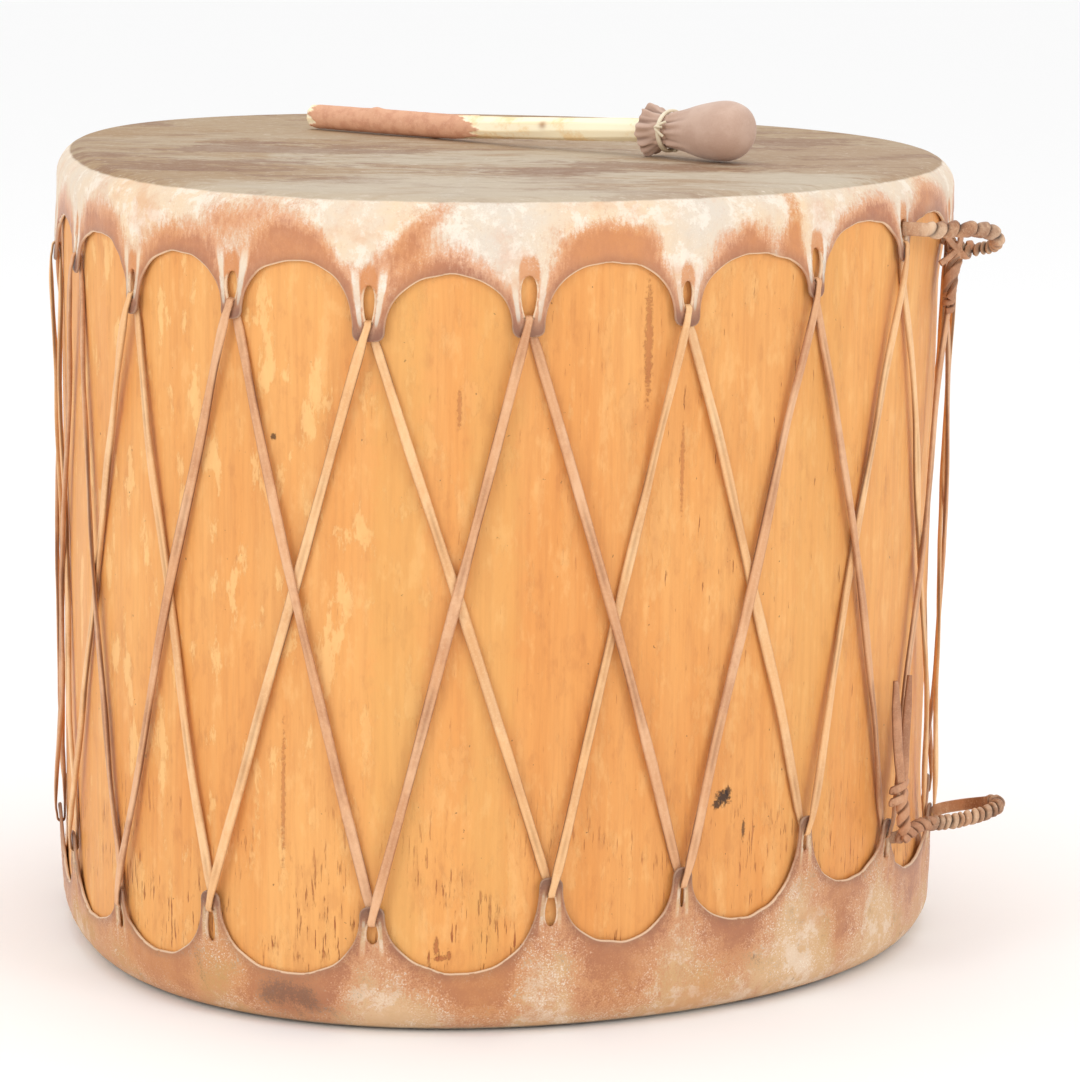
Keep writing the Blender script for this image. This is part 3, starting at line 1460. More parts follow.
@dataclass
class Lacing:
    """One long thong, laced through every second pair of eyelets all the way round."""

    trunk: Trunk
    material: Material
    label: Label
    first: int
    crossing_out: float
    free_out: float = 3.9
    seed: int = 1
    width: float = 6.7
    thickness: float = 3.0
    behind: float = 1.6
    before: float = 6.6
    step: float = 3.6

    def _turn(self, plan: HeadPlan, tab: Tab) -> list[Station]:
        """Go in over the strip of skin past an eyelet: stations from the front to the back.

        Args:
            plan: The tab's head.
            tab: The tab.

        Returns:
            Angles, heights and distances out.
        """
        radius = (self.before - self.behind) / 2
        middle = (self.before + self.behind) / 2
        seat = tab.eyelet - plan.away * 1.2
        return [(tab.angle, seat - plan.away * radius * math.sin(t), middle + radius * math.cos(t))
                for t in np.radians(np.linspace(0, 180, 9))]

    @staticmethod
    def _crossing(start: Tab, end: Tab, other_start: Tab, other_end: Tab) -> float:
        """Find the height where two runs cross.

        Args:
            start: The tab where the first run starts.
            end: The tab where it ends.
            other_start: The second run's start.
            other_end: The second run's end.

        Returns:
            The height.
        """
        run = (end.angle - start.angle, end.eyelet - start.eyelet)
        other = (other_end.angle - other_start.angle, other_end.eyelet - other_start.eyelet)
        ahead = (other_start.angle - start.angle, other_start.eyelet - start.eyelet)
        share = (ahead[0] * other[1] - ahead[1] * other[0]) / (run[0] * other[1] - run[1] * other[0])
        return start.eyelet + share * run[1]

    def _run(self, start: tuple, end: tuple, crossing: float, front: bool) -> list[Station]:
        """Go from one eyelet to the next.

        Args:
            start: The station it leaves from.
            end: The station it goes to.
            crossing: The height where it meets the other thong.
            front: Whether it lies in front of the tabs or behind them.

        Returns:
            Stations between the two.
        """
        count = int(abs(end[1] - start[1]) / self.step)
        share = np.linspace(0, 1, count + 1)[1:-1]
        angle = blend(start[0], end[0], share)
        z = blend(start[1], end[1], share)
        near = np.minimum(np.abs(z - start[1]), np.abs(z - end[1]))
        meet = 1 - smooth(np.abs(z - crossing), 13.0, 95.0)
        free = blend(self.free_out, self.crossing_out, meet)
        if front:
            held = self.before + 1.1 * smooth(near, 0.0, 9.0)
            out = blend(held, free, smooth(near, 9.0, 100.0))
        else:
            out = blend(np.full_like(near, self.behind - 0.2), free, smooth(near, 14.0, 90.0))
        return list(zip(angle, z, out))

    def _stations(self) -> Array:
        """List every station of the closed loop as angle, height and distance out.

        Returns:
            One row for each.
        """
        stations = []
        for k in range(self.first, len(TOP.tips) + self.first, 2):
            down = self._turn(TOP, TOP.tab(k))
            up = self._turn(BOTTOM, BOTTOM.tab(k + 1))[::-1]
            following = self._turn(TOP, TOP.tab(k + 2))
            behind = self._crossing(TOP.tab(k), BOTTOM.tab(k + 1), TOP.tab(k + 1), BOTTOM.tab(k))
            before = self._crossing(BOTTOM.tab(k + 1), TOP.tab(k + 2), BOTTOM.tab(k + 2), TOP.tab(k + 1))
            stations += [*down, *self._run(down[-1], up[0], behind, False)]
            stations += [*up, *self._run(up[-1], following[0], before, True)]
        return np.array(stations)

    def build(self) -> Object:
        """Make the piece.

        Returns:
            The thong, replacing its plain solid.
        """
        stations = self._stations()
        angle, z, out = stations.T
        path = self.trunk.place(angle, z, out)
        tight = np.minimum.reduce([np.abs(z - tab_z) for tab_z in self._nearest_eyelets(angle)])
        wide = self.width * (1 + 0.11 * ripple(path, 70.0, self.seed)) * blend(0.72, 1.0, smooth(tight, 2, 18))
        thick = self.thickness * (1 + 0.1 * ripple(path, 40.0, self.seed + 5))
        thick = thick * blend(0.55, 1.0, smooth(tight, 5, 24))
        groove = 0.55 * smooth(ripple(path, 60.0, self.seed + 9), -0.1, 0.6) * smooth(tight, 8, 30)
        lean = np.radians(13.0) * ripple(path, 120.0, self.seed + 13) * smooth(tight, 12, 50)
        outline = strap_outline(wide, thick, groove)
        cosine, sine = np.cos(lean)[:, None], np.sin(lean)[:, None]
        turned = table(outline[..., 0] * cosine - outline[..., 1] * sine,
                       outline[..., 0] * sine + outline[..., 1] * cosine)
        guide = self.trunk.level_along(angle, z)
        points, faces = sweep(path, guide, self._face_out(path, guide, turned), closed=True)
        side = np.abs(outline[..., 0]) / (wide[:, None] / 2)
        folds = smooth(ripple(path, 90.0, self.seed + 17), -0.4, 0.5)[:, None]
        gap = (0.25 + 0.5 * folds) * smooth(side, 0.8, 1.0) + 0.5 * groove[:, None] * (side < 0.3)
        ridge = np.exp(-((side - 0.35) / 0.3) ** 2)
        return make_piece(self.label, points, faces, self.material,
                          {"gap": gap.ravel(), "ridge": ridge.ravel()})

    @staticmethod
    def _face_out(path: Array, guide: Array, outline: Array) -> Array:
        """Turn the grooved side of the outline away from the trunk, whichever way the path runs.

        Args:
            path: The middle line.
            guide: The level direction at each step.
            outline: The outlines.

        Returns:
            The outlines, turned over where needed.
        """
        tangent = unit(np.roll(path, -1, 0) - np.roll(path, 1, 0))
        outward = unit(path * (1, 1, 0))
        facing = (np.cross(tangent, guide) * outward).sum(axis=1)
        sign = np.where(facing < 0, -1.0, 1.0)
        return outline * table(1.0, sign)[:, None, :]

    @staticmethod
    def _nearest_eyelets(angle: Array) -> list[Array]:
        """Give, for each station, the heights of the top and bottom eyelets nearest to it.

        Args:
            angle: The stations' angles.

        Returns:
            The heights at the top and at the bottom.
        """
        heights = []
        for plan in (TOP, BOTTOM):
            tabs = [plan.tab(k) for k in range(-2, 46)]
            nearest = np.abs(angle[:, None] - np.array([t.angle for t in tabs])).argmin(axis=1)
            heights.append(np.array([t.eyelet for t in tabs])[nearest])
        return heights


# ---- The handles ----


class Wrapping(Enum):
    """How a handle's strip is wound: broad slanting bands, or tight ribs."""

    BROAD = "broad"
    TIGHT = "tight"


@dataclass(frozen=True)
class Bend:
    """A place on a handle's middle line, at an angle, a distance from the axis and a height.

    It is a flat strap where wrapped is 0, and a wound rope of the given thickness and pitch where it is 1.
    """

    angle: float
    reach: float
    z: float
    wrapped: float = 1.0
    thick: float = 10.0
    pitch: float = 12.5

    def row(self) -> tuple[float, ...]:
        """Give its place in space and how it is made."""
        return (*polar(self.angle, self.reach, self.z), self.wrapped, self.thick, self.pitch)


@dataclass
class WrappedHandle:
    """A carrying loop: a strap through two eyelets, wrapped into a rope where it stands clear."""

    bends: tuple[Bend, ...]
    material: Material
    label: Label
    wrapping: Wrapping
    strap_width: float = 8.0
    strap_thickness: float = 2.2
    seed: int = 31
    sides: int = 40

    def stations(self) -> Array:
        """List the middle line from the first eyelet to the second, evenly stepped."""
        return curve_through(np.array([bend.row() for bend in self.bends]), 460)

    def build(self) -> Object:
        """Make the piece.

        Returns:
            The handle, replacing its plain solid.
        """
        rows = self.stations()
        path, body, thick, pitch = rows[:, :3], np.clip(rows[:, 3], 0, 1), rows[:, 4], rows[:, 5]
        gone = gone_along(path)
        wound = np.concatenate([[0], np.cumsum(np.diff(gone) / pitch[1:])])
        wound = wound + 0.12 * np.sin(wound * 2.3) + 0.06 * np.sin(wound * 5.1 + 1.0)
        turn = full_turn(self.sides)
        broad = self.wrapping is Wrapping.BROAD
        phase = (wound[:, None] + turn[None, :] / (2 * math.pi)) % 1.0
        step = np.minimum(phase, 1 - phase) * pitch[:, None]
        groove = np.exp(-(step / (1.6 if broad else 0.8)) ** 2)
        tooth = (1.0 if broad else 0.3) * (phase - 0.5)
        swell = np.sin(np.pi * phase) * (0.5 if broad else 1.0)
        radius = thick[:, None] / 2 - 0.7 + swell + 1.8 * tooth - 1.7 * groove
        skin = table(gone[:, None], 6 * np.cos(turn), 6 * np.sin(turn))
        radius += 0.3 * ripple(skin, 8.0, self.seed)
        rope = table(radius * np.cos(turn), radius * np.sin(turn) * 0.94)
        flat = table(self.strap_width / 2 * signed_power(np.cos(turn), 0.6),
                     self.strap_thickness / 2 * np.sin(turn))
        outline = blend(flat[None], rope, smooth(body, 0.2, 0.9)[:, None, None])
        points, faces = sweep(path, UP, outline)
        edges = (1 - body[:, None]) * (np.abs(np.cos(turn)) > 0.97) * 0.5
        gap = np.concatenate([np.clip(groove * body[:, None] + edges, 0, 1).ravel(), [0.3, 0.3]])
        return make_piece(self.label, points, faces, self.material, {"gap": gap})


@dataclass(frozen=True)
class Strand:
    """A thong of a tie, through places of angle, distance from the axis and height.

    Where twist isn't 0, it winds round that line at that distance, starting at the given share of a turn. Its
    flat side faces outwards from the drum, or towards the angle given as facing.
    """

    places: tuple[tuple[float, float, float], ...]
    width: tuple[float, ...] = (4.4, 4.4)
    thickness: float = 2.2
    twist: float = 0.0
    pitch: float = 13.0
    start: float = 0.0
    facing: float | None = None
    span_steps: int = 26

    def build(self) -> tuple[Array, list, Array]:
        """Make its corners and faces, and how dark each corner is.

        Returns:
            Corners, faces, and a value for each corner.
        """
        steps = self.span_steps * (len(self.places) - 1)
        path = curve_through(polar(*np.array(self.places).T), steps)
        gone = gone_along(path)
        tangent = unit(np.gradient(path, axis=0))
        outward = unit(path * (1, 1, 0))
        if self.facing is not None:
            outward = polar(self.facing, 1.0, 0.0)
        across = unit(np.cross(tangent, outward))
        around = 2 * math.pi * (gone / self.pitch + self.start)
        away = across * np.cos(around)[:, None] + np.cross(tangent, across) * np.sin(around)[:, None]
        guide = np.cross(tangent, away) if self.twist else across
        widths = np.interp(np.linspace(0, 1, steps + 1), np.linspace(0, 1, len(self.width)), self.width)
        outline = strap_outline(widths, self.thickness)
        points, faces = sweep(path + away * self.twist, guide, outline)
        dark = 0.45 * (np.abs(outline[..., 0]) > 0.46 * widths[:, None])
        return points, faces, np.append(dark.ravel(), [0.0, 0.0])


@dataclass
class HandleTie:
    """The thongs knotted round one end of a handle, with their ends hanging or drawn up to the lacing."""

    material: Material
    label: Label
    strands: tuple[Strand, ...]

    def build(self) -> Object:
        """Make the piece.

        Returns:
            The tie, replacing its plain solid.
        """
        parts = [strand.build() for strand in self.strands]
        points, faces = join_parts([part[:2] for part in parts])
        gap = np.concatenate([part[2] for part in parts])
        return make_piece(self.label, points, faces, self.material, {"gap": gap})


# ---- The beater ----


@dataclass
class Beater:
    """The beater on the upper head: a branch, a stuffed buckskin end, and the cord round its neck."""

    stick: Material
    leather: Material
    cord: Material
    lies: tuple[float, float] = (-127.0, 148.0)
    towards: float = -36.6
    floor: float = TRUNK.height
    bark_end: float = 140.0
    slope: float = 0.0525
    sides: int = 60
    pad_sides: int = 144
    neck: float = 306.0

    def _line(self, along: Array) -> Array:
        """Give the height of the padded end's middle line."""
        return 9.8 + self.slope * (np.asarray(along) - 141.0)

    def _lay(self, points: Array) -> Array:
        """Turn points along the beater to where it lies on the head.

        Args:
            points: Points with X along the beater.

        Returns:
            The points in the drum's frame.
        """
        turn = math.radians(self.towards)
        x = self.lies[0] + points[:, 0] * math.cos(turn) - points[:, 1] * math.sin(turn)
        y = self.lies[1] + points[:, 0] * math.sin(turn) + points[:, 1] * math.cos(turn)
        return table(x, y, points[:, 2] + self.floor)

    def _build_stick(self) -> Object:
        """Make the branch: bark, a ragged end to it, and knife facets.

        Returns:
            The branch.
        """
        along = np.linspace(0, 318, 300)
        height = np.interp(along, [0, 3, 62, 118, 139, 141, 318], [8.7, 8.7, 8.9, 9.0, 9.7, 9.8, 19.1])
        height = np.convolve(np.pad(height, 8, mode="edge"), np.ones(17) / 17, mode="valid")
        path = table(along, 0.0, height)
        turn = full_turn(self.sides)
        s, a = np.meshgrid(along, turn, indexing="ij")
        round_place = table(s, 8 * np.cos(a), 8 * np.sin(a))
        draw = np.random.default_rng(8)
        ragged = sum(draw.uniform(0.6, 1.6) * np.sin(n * turn + draw.uniform(0, 6))
                     for n in (1, 2, 3, 5, 7, 11))
        edge = self.bark_end + 3.2 * ragged
        bark = smooth(edge[None, :] - s, -0.5, 0.5)
        chipped = 5.0 + 1.6 * np.roll(ragged, 20)
        bark *= smooth(s - chipped[None, :], -0.5, 0.5)
        barked = 8.3 + 0.07 * ripple(round_place, 7.0, 41) + 0.2 * ripple(round_place * (0.3, 1, 1), 40.0, 42)
        barked += 1.5 * np.exp(-((s - 58) / 4.5) ** 2 - ((a - 0.3) / 0.5) ** 2)
        twig = np.exp(-((s - 106) / 3.0) ** 2 - (((a - 3.7) / 0.42) ** 2))
        barked += 2.2 * twig
        facets = 9
        planes = np.full_like(s, 99.0)
        for i in range(facets):
            middle = 2 * math.pi * i / facets + draw.uniform(-0.14, 0.14)
            drift = middle + 0.12 * np.sin(s / draw.uniform(18, 40) + draw.uniform(0, 6))
            off = (a - drift + math.pi) % (2 * math.pi) - math.pi
            depth = 7.45 + 0.18 * np.sin(s / draw.uniform(14, 30) + draw.uniform(0, 6))
            cut = np.where(np.abs(off) < 1.2, depth / np.cos(np.clip(off, -1.2, 1.2)), 99.0)
            planes = np.minimum(planes, cut)
        planes = np.minimum(planes, 8.0)
        radius = blend(planes, barked, bark)
        radius *= smooth(s, -2.5, 2.0) * 0.12 + 0.88
        outline = table(radius * np.cos(a), radius * np.sin(a))
        points, faces = sweep(path, UP, outline)
        ends = [0.0, 0.0]
        knot = np.exp(-((s - 205) / 3.0) ** 2 - ((a - 1.2) / 0.35) ** 2) + 0.9 * smooth(twig, 0.55, 0.8)
        facet = np.clip((planes - 7.35) / 0.6, 0, 1)
        marks = {"bark": np.append(bark.ravel() * (1 - smooth(twig, 0.6, 0.8)).ravel(), ends),
                 "knot": np.append(np.clip(knot, 0, 1).ravel() * 0.7, ends),
                 "facet": np.append(facet.ravel(), ends)}
        return make_piece(Label("beater_branch", "beater_stick", "stick_wood"), self._lay(points), faces,
                          self.stick, marks)

    def _build_pad(self) -> Object:
        """Make the stuffed end: a smooth bulb, gathers at the neck and a crinkled flaring lip.

        Returns:
            The pad.
        """
        knots = np.array([
            (297, 8.3), (292, 11), (289, 14), (288, 15.6), (289.2, 16.6), (292, 16), (296, 13.8),
            (300, 12.3), (304, 11.7), (308.5, 11.8), (313, 12.7), (320, 14.6), (328, 16.8),
            (337, 18.8), (346.5, 20), (354, 19.6), (361, 17), (366, 12.3), (368.4, 6.8), (369, 0.4)])
        profile = curve_through(table(*knots.T, 0.0), 190)
        s, r = profile[:, 0], profile[:, 1]
        turn = full_turn(self.pad_sides)
        outer = np.arange(len(s)) > 12
        near_neck = np.exp(-((s - self.neck) / 13.0) ** 2)
        pleats = sum(w * np.cos(n * turn + p) for n, w, p in ((11, 0.5, 0.3), (17, 0.35, 2.2), (7, 0.35, 4.0)))
        sharp = signed_power(pleats, 0.8)
        depth = 1.7 * near_neck * (s > 308) + 0.5 * near_neck * (s <= 308)
        lip = smooth(301.0 - s, 0.0, 9.0) * outer
        crinkle = sum(w * np.cos(n * turn + p) for n, w, p in ((5, 0.5, 1.0), (9, 0.6, 0.2), (16, 0.5, 3.0)))
        radius = r[:, None] + depth[:, None] * sharp[None, :] + 1.7 * lip[:, None] * crinkle[None, :]
        ball = table(s[:, None], r[:, None] * np.cos(turn), r[:, None] * np.sin(turn))
        radius += 0.22 * ripple(ball, 22.0, 51) * smooth(r, 1.0, 9.0)[:, None]
        shift = 1.1 * lip[:, None] * crinkle[None, ::-1]
        lowest = self._line(s)[:, None] - 0.35
        down = -np.cos(turn)[None, :]
        radius = np.where(down > 0.2, np.minimum(radius, lowest / np.maximum(down, 0.2)), radius)
        points = table(s[:, None] + shift, radius * np.sin(turn),
                       self._line(s)[:, None] + radius * np.cos(turn))
        steps, sides = points.shape[:2]
        faces = grid_faces(steps, sides) + end_fans(steps, sides)
        flat = np.vstack([points.reshape(-1, 3), points[0].mean(0), points[-1].mean(0)])
        fold = near_neck[:, None] * smooth(-sharp, 0.35, 1.0)[None, :] + (0.7 * ~outer)[:, None]
        fold += lip[:, None] * smooth(-crinkle, 0.1, 1.2)[None, :] * 0.8
        marks = {"fold": np.append(np.clip(fold, 0, 1).ravel(), [0.5, 0.0])}
        return make_piece(Label("beater_pad_leather", "beater_pad", "pad_leather"), self._lay(flat), faces,
                          self.leather, marks)

    def _build_cord(self) -> Object:
        """Make the cord: two turns round the neck and a small knot with its ends.

        Returns:
            The cord.
        """
        turn = np.linspace(0, 4.2 * math.pi, 190)
        along = 302.0 + 5.6 * turn / turn[-1] + 1.2 * np.sin(turn * 0.5)
        reach = 13.4 + 0.5 * np.sin(3 * turn)
        path = table(along, reach * np.sin(turn + 2.4), self._line(along) + reach * np.cos(turn + 2.4))
        thick = strap_outline(2.5, 2.2, sides=10)
        parts = [sweep(path, np.array([1.0, 0.0, 0.0]), thick)]
        base = np.array([305.0, -14.2, float(self._line(305.0)) + 3.0])
        for ends in (((0, 0, -2), (0.5, -1.6, 0.5), (3.0, -1.4, 2.4), (6.0, 0.4, 4.0)),
                     ((0, 0, 2), (-0.8, -1.8, -0.5), (1.0, -1.6, -3.0), (4.0, 0.2, -6.0)),
                     ((-2.2, -0.4, 0), (-0.4, -2.2, 0.4), (1.8, -2.0, 0.6), (3.0, -0.2, 0.2))):
            line = curve_through(base + np.array(ends), 24)
            parts.append(sweep(line, np.array([0.0, 1.0, 0.2]), strap_outline(2.0, 1.8, sides=8)))
        points, faces = join_parts(parts)
        return make_piece(Label("beater_cord", "beater_tie", "tie_cord"), self._lay(points), faces, self.cord,
                          {"gap": np.zeros(len(points))})

    def build(self) -> list[Object]:
        """Make the three pieces."""
        return [self._build_stick(), self._build_pad(), self._build_cord()]


# ---- The studio ----


@dataclass
class Studio:
    """The floor, the lights and the camera."""

    floor: Material
    stand: tuple[float, float, float] = (-1.2, -3201.0, 831.0)
    pitch: float = 10.064
    yaw: float = 0.662
    roll: float = 0.9
    lens: float = 158.3

    def _floor(self) -> None:
        """Lay a wide floor."""
        half = 30.0
        corners = [(-half, -half, 0), (half, -half, 0), (half, half, 0), (-half, half, 0)]
        mesh = bpy.data.meshes.new("studio_floor")
        mesh.from_pydata(corners, [], [(0, 1, 2, 3)])
        mesh.materials.append(self.floor)
        piece = bpy.data.objects.new("studio_floor", mesh)
        bpy.context.scene.collection.objects.link(piece)

    @staticmethod
    def _light(name: str, place: tuple, size: tuple[float, float], watts: float) -> None:
        """Hang one soft light, aimed at the middle of the drum.

        Args:
            name: Its name.
            place: Where it hangs, in metres.
            size: Its width and height in metres.
            watts: Its power.
        """
        lamp = bpy.data.lights.new(name, "AREA")
        lamp.shape = "RECTANGLE"
        lamp.size, lamp.size_y = size
        lamp.energy = watts
        holder = bpy.data.objects.new(name, lamp)
        holder.location = place
        aim = Vector((0.0, 0.0, 0.27)) - Vector(place)
        holder.rotation_euler = aim.to_track_quat("-Z", "Y").to_euler()
        bpy.context.scene.collection.objects.link(holder)

    def build(self) -> None:
        """Set the stage."""
        self._floor()
        self._light("left_softbox", (-2.3, -2.6, 1.7), (1.2, 1.6), 26.0)
        self._light("right_softbox", (2.5, -2.4, 1.6), (1.2, 1.6), 22.0)
        self._light("overhead", (0.0, 0.6, 3.0), (2.4, 2.4), 12.0)
        world = bpy.data.worlds.new("studio")
        world.use_nodes = True
        backdrop = world.node_tree.nodes["Background"]
        backdrop.inputs["Color"].default_value = (1.0, 1.0, 1.0, 1.0)
        backdrop.inputs["Strength"].default_value = 1.0
        bpy.context.scene.world = world
        bpy.context.scene.view_settings.view_transform = "Standard"
        lens = bpy.data.cameras.new("camera")
        lens.sensor_fit = "HORIZONTAL"
        lens.sensor_width = 36.0
        lens.lens = self.lens
        lens.clip_end = 100.0
        camera = bpy.data.objects.new("camera", lens)
        camera.location = [v * MM for v in self.stand]
        turn = Euler((math.radians(90 - self.pitch), 0.0, -math.radians(self.yaw)), "XYZ").to_matrix()
        roll = Euler((0.0, 0.0, math.radians(self.roll)), "XYZ").to_matrix()
        camera.rotation_euler = (turn @ roll).to_euler()
        bpy.context.scene.collection.objects.link(camera)
        bpy.context.scene.camera = camera


# ---- Everything together ----


@dataclass
class Drum:
    """The drum's sub-assemblies, each with its finish."""

    effects: Effects

    def heads(self) -> list[RawhideHead]:
        """Give the two heads.

        Returns:
            The upper and the lower head.
        """
        top = Rawhide("top_rawhide", 0.5, 0.0005)
        bottom = Rawhide(
            "bottom_rawhide", 0.52, 0.0005, face=(160, 132, 98), face_dark=(112, 80, 54),
            face_pale=(186, 166, 138), cream=(216, 182, 146), cream_warm=(196, 152, 98), ember=(188, 126, 78),
            band=(164, 108, 80), band_pale=(198, 144, 106), orange=(200, 142, 92), stain=(108, 76, 62),
            lip=(232, 204, 172), hair=0.6, speck=1.3, mottle=2.0, sprinkle=0.85, tinge=0.5, nap=0.35,
            flame=0.0, streak_reach=46.0, streak_spread=0.05, streak_widen=0.035)
        return [
            RawhideHead(
                TRUNK, TOP, top.build(self.effects), Label("top_rawhide_head", "top_head", "top_rawhide"),
                pale=patches(
                    (-31.5, 26, 14, 18, -0.5), (-24, 24, 26, 24, -0.55), (-21, 44, 24, 22, -0.5),
                    (-16.5, 20, 14, 14, 0.35), (-9, 26, 11, 28, -0.9, 0.9), (-16.5, 38, 10, 12, 0.4),
                    (-50, 26, 26, 14, -0.22), (-38, 26, 16, 20, -0.15), (-29, 16, 20, 10, -0.45),
                    (14, 27, 36, 12, -0.75), (22, 30, 10, 16, 0.4), (1, 40, 22, 16, 0.5),
                    (24.7, 50, 16, 16, 0.4), (32.5, 34, 5, 14, -0.7), (36.5, 40, 6, 16, 0.7),
                    (39.7, 22, 6, 24, -0.9), (45, 34, 14, 14, 0.4), (55, 20, 20, 9, -0.3),
                    (61, 24, 6, 22, 0.6), (69, 20, 14, 24, -0.45), (50, 14, 30, 10, 0.3),
                    (-58, 28, 14, 12, -0.3), (100, 24, 18, 14, -0.7), (131, 28, 9, 26, -0.8),
                    (165, 26, 24, 12, -0.8), (200, 28, 14, 22, -0.7), (240, 24, 22, 14, -0.8),
                    (268, 30, 9, 24, -0.6)),
                warm=patches(
                    (-45, 20, 60, 60, 0.4), (-22, 34, 40, 26, 0.35), (33, 34, 20, 26, 0.5),
                    (-9, 24, 16, 34, 0.5), (14.5, 28, 40, 26, 0.7), (39.7, 20, 12, 30, 0.6),
                    (69, 20, 22, 26, 0.4), (0, 10, 40, 30, -0.3), (28, 10, 40, 30, -0.3),
                    (165, 24, 50, 30, 0.5), (240, 24, 50, 30, 0.5)),
                stain=patches(
                    (36.5, 34, 5, 12, 0.25))),
            RawhideHead(
                TRUNK, BOTTOM, bottom.build(self.effects),
                Label("bottom_rawhide_head", "bottom_head", "bottom_rawhide"), band=(26, 36), fade=58,
                pale=patches(
                    (-30.5, 40, 16, 22, 0.3), (-12, 52, 18, 20, 0.15), (-9, 12, 40, 15, 0.55),
                    (-40, 30, 30, 20, -0.3), (7, 38, 20, 20, 0.25), (0, 30, 16, 20, -0.5),
                    (16, 26, 18, 20, -0.35), (24, 50, 16, 16, 0.3), (20, 26, 30, 12, -0.1),
                    (33, 40, 14, 26, -0.2), (44, 42, 26, 34, 0.75, 0.4), (52, 34, 8, 30, -0.5),
                    (62, 44, 22, 34, 0.5), (-62, 24, 44, 18, 0.55), (-22, 20, 24, 16, -0.6),
                    (40, 20, 60, 12, 0.2), (110, 30, 30, 24, 0.4), (180, 24, 40, 16, 0.4),
                    (235, 30, 30, 24, 0.4)),
                warm=patches(
                    (-50, 18, 110, 30, 0.9), (-30.5, 40, 20, 24, 0.5), (0, 34, 26, 26, 0.6),
                    (16, 26, 40, 26, 0.3), (28, 24, 30, 20, 0.4), (50, 40, 16, 30, 0.4),
                    (180, 24, 200, 30, 0.3)),
                stain=patches(
                    (-22.5, 24, 22, 9, 0.7), (-18, 16, 30, 8, 0.4), (-42, 44, 30, 8, 0.35, 0.6),
                    (-66, 60, 20, 10, 0.4), (150, 24, 40, 10, 0.5), (-125, 24, 30, 12, 0.4)))]

    def lacings(self) -> list[Lacing]:
        """Give the two thongs.

        Returns:
            The lower and the upper thong.
        """
        pale = Thong("pale_thong", 0.5, 0.0003, base=(224, 168, 112), pale=(244, 206, 158), dark=(190, 128, 76))
        brown = Thong("brown_thong", 0.5, 0.0003, base=(206, 148, 102), pale=(234, 190, 150),
                      dark=(168, 106, 68), dark_share=0.6)
        under = Label("thong_under", "lacing_under", "pale_thong")
        over = Label("thong_over", "lacing_over", "brown_thong")
        return [Lacing(TRUNK, pale.build(self.effects), under, 0, 1.9),
                Lacing(TRUNK, brown.build(self.effects), over, 1, 5.1, seed=61)]

    def handles(self) -> list[WrappedHandle | HandleTie]:
        """Give the two handles and their ties.

        Returns:
            Both handles, then their ties.
        """
        wrap = Thong("handle_wrap", base=(184, 136, 100), pale=(226, 196, 164), dark=(126, 78, 50),
                     dark_share=0.8, pale_share=0.8, gap=(40, 22, 14)).build(self.effects)
        knot = Thong("handle_tie", base=(190, 136, 100), pale=(220, 176, 140), dark=(138, 88, 60),
                     dark_share=0.6, gap=(54, 30, 18)).build(self.effects)
        tight, broad = (1.0, 9.8, 5.8), (1.0, 11.4, 13.5)
        upper = WrappedHandle(tuple(Bend(*row) for row in (
            (61.3, 302.5, 497, 0), (61.6, 307.5, 497, 0), (62.3, 310, 496.6, 0),
            (63.2, 312, 496, 0.1), (64.2, 314.5, 495.2, 0.7, 11, 13), (66, 318.5, 494.6, *broad),
            (68.3, 324, 494.2, *broad), (70.8, 332.5, 493.4, *broad), (73.8, 341.5, 490, *broad),
            (75.6, 344, 484.5, 1, 11, 9), (77, 341, 479.5, 1, 10, 5.6),
            (78, 336, 477, 1, 9.6, 5.6), (79.2, 322, 474, 1, 9.4, 5.6),
            (80, 313.5, 475, 0.6, 9, 5.6), (80.4, 309.5, 479, 0), (80.5, 303.5, 482, 0))),
            wrap, Label("upper_handle_wrap", "upper_handle", "handle_wrap"), Wrapping.BROAD, strap_width=9)
        lower = WrappedHandle(tuple(Bend(*row) for row in (
            (62.8, 302.5, 91, 0), (63, 306.5, 91.5, 0), (63.5, 310, 93.5, 0), (64.6, 313.5, 96.5, 0),
            (65.8, 317, 98, 0.6, 8.6, 5.6), (67.2, 322, 98, *tight), (69.7, 332, 97, *tight),
            (73.3, 348, 98.5, *tight), (75, 355.5, 101, *tight), (75.8, 357, 103.5, *tight),
            (76.6, 353, 103.5, 1, 8.6, 5.6), (77.5, 346, 101, 0.2), (79.5, 329, 95.5, 0),
            (80.5, 313, 90, 0), (80.9, 308, 83, 0), (80.9, 302.5, 78, 0))),
            wrap, Label("lower_handle_wrap", "lower_handle", "handle_wrap"), Wrapping.TIGHT, seed=37)
        leg = ((79.5, 325, 474.3), (79.5, 318, 473.6), (79.8, 312.5, 474.5))
        drop = ((78.9, 315.5, 470), (78, 313.5, 462), (77.4, 312.5, 453), (77.6, 311.5, 443))
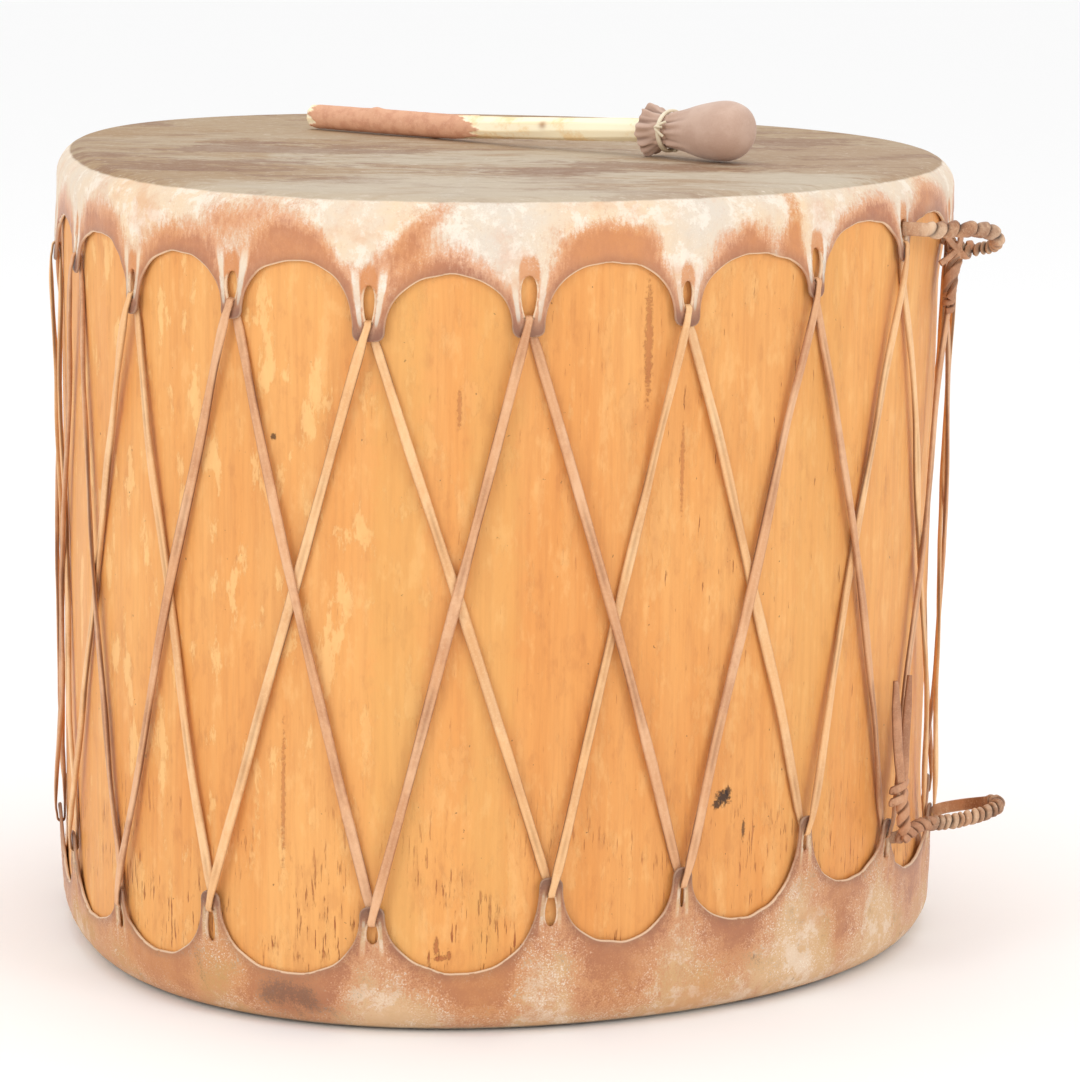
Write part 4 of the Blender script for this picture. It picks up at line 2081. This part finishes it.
        upper_tie = HandleTie(knot, Label("upper_handle_knot", "upper_handle_tie", "handle_tie"), (
            Strand(leg, (4.8, 4.8), 2.6, 5, 5.6),
            Strand(((76.2, 308.5, 486), (76.8, 311.5, 481), (78, 315.5, 475), (79.2, 318, 468)),
                   (4.4, 4.8), 3, facing=40),
            Strand(((79.8, 317, 482), (78.6, 316.5, 477), (77.2, 312, 471), (76.4, 306, 466)),
                   (4.4, 4.4), 3, facing=30),
            *(Strand(drop, (5.6, 7.2, 7.4, 5), 4.4, 2.4, 30, start) for start in (0, 0.5)),
            Strand(((79, 316, 474), (78.8, 315, 462), (78.9, 313.5, 450), (78.4, 311.5, 440),
                    (78.5, 310, 430), (78.7, 309, 420)),
                   (4.6, 4.6, 4.2, 4, 3.6, 3.2), 2.8, facing=20),
            Strand(((77.9, 311.6, 446), (78.1, 311.2, 440), (78.2, 310.6, 434)),
                   (4.4, 4.4), 3.2, 3, 6)))
        hook = tuple((61.5 + 1.6 * math.cos(a), 311.0 + 3.0 * math.sin(a), 132.5 - 1.0 * i)
                     for i, a in enumerate(np.radians(np.arange(-60, 620, 45))))
        down = ((61.4, 311.5, 126), (61.9, 313, 115), (62.1, 313.5, 105), (62.5, 313.5, 97))
        along = ((61.9, 312.5, 92), (63.4, 314, 94.5), (65.2, 316.5, 97.4), (66.4, 319.8, 98),
                 (67.4, 323.4, 98))
        lower_tie = HandleTie(knot, Label("lower_handle_knot", "lower_handle_tie", "handle_tie"), (
            Strand(hook, (5.6, 6), 3.6, facing=35),
            *(Strand(down, (6, 6), 4.4, 2.4, 19, start) for start in (0, 0.5)),
            *(Strand(along, (5.6, 6), 4.2, 2.6, 16, start) for start in (0.1, 0.6)),
            Strand(((62.3, 311, 103), (62.7, 315, 99), (63.7, 316, 95), (63.5, 312, 91.5)),
                   (4.6, 5), 3, facing=30),
            Strand(((60.2, 309.5, 200), (60.6, 310, 176), (60.9, 311, 154), (61.1, 312.5, 137),
                    (61.5, 313, 126)), (3, 6.6, 7, 6.8, 5.6), 3.2, facing=25),
            Strand(((64.6, 309.5, 200), (63.9, 310, 176), (63, 311, 154), (62.4, 312.5, 137),
                    (61.7, 313, 126)), (3, 6, 6.6, 6.4, 5), 3.2, facing=25)))
        return [upper, lower, upper_tie, lower_tie]

    def beater(self) -> Beater:
        """Give the beater."""
        cord = Thong("tie_cord", 0.6, 0.0002, base=(226, 212, 184), pale=(244, 236, 216), dark=(182, 160, 124),
                     dark_share=0.4)
        return Beater(StickWood("stick_wood", 0.6, 0.0003).build(self.effects),
                      Buckskin("pad_leather", 0.85, 0.0002).build(self.effects), cord.build(self.effects))


def main() -> None:
    """Build the drum, its beater and the studio, and report each piece."""
    logging.basicConfig(level=logging.INFO, format="%(name)s: %(message)s")
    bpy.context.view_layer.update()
    effects = Effects()
    drum = Drum(effects)
    shell = LogShell(TRUNK, LogWood("log_wood", 0.55, 0.0005).build(effects))
    pieces = []
    for maker in (shell, *drum.heads(), *drum.lacings(), *drum.handles()):
        pieces.append(maker.build())
    pieces += drum.beater().build()
    for piece in pieces:
        LOG.info("%s: %d faces", piece.name, len(piece.data.polygons))
    Studio(StudioFloor("studio_floor", 0.9, 0.0001).build(effects)).build()


if __name__ == "__main__":
    main()
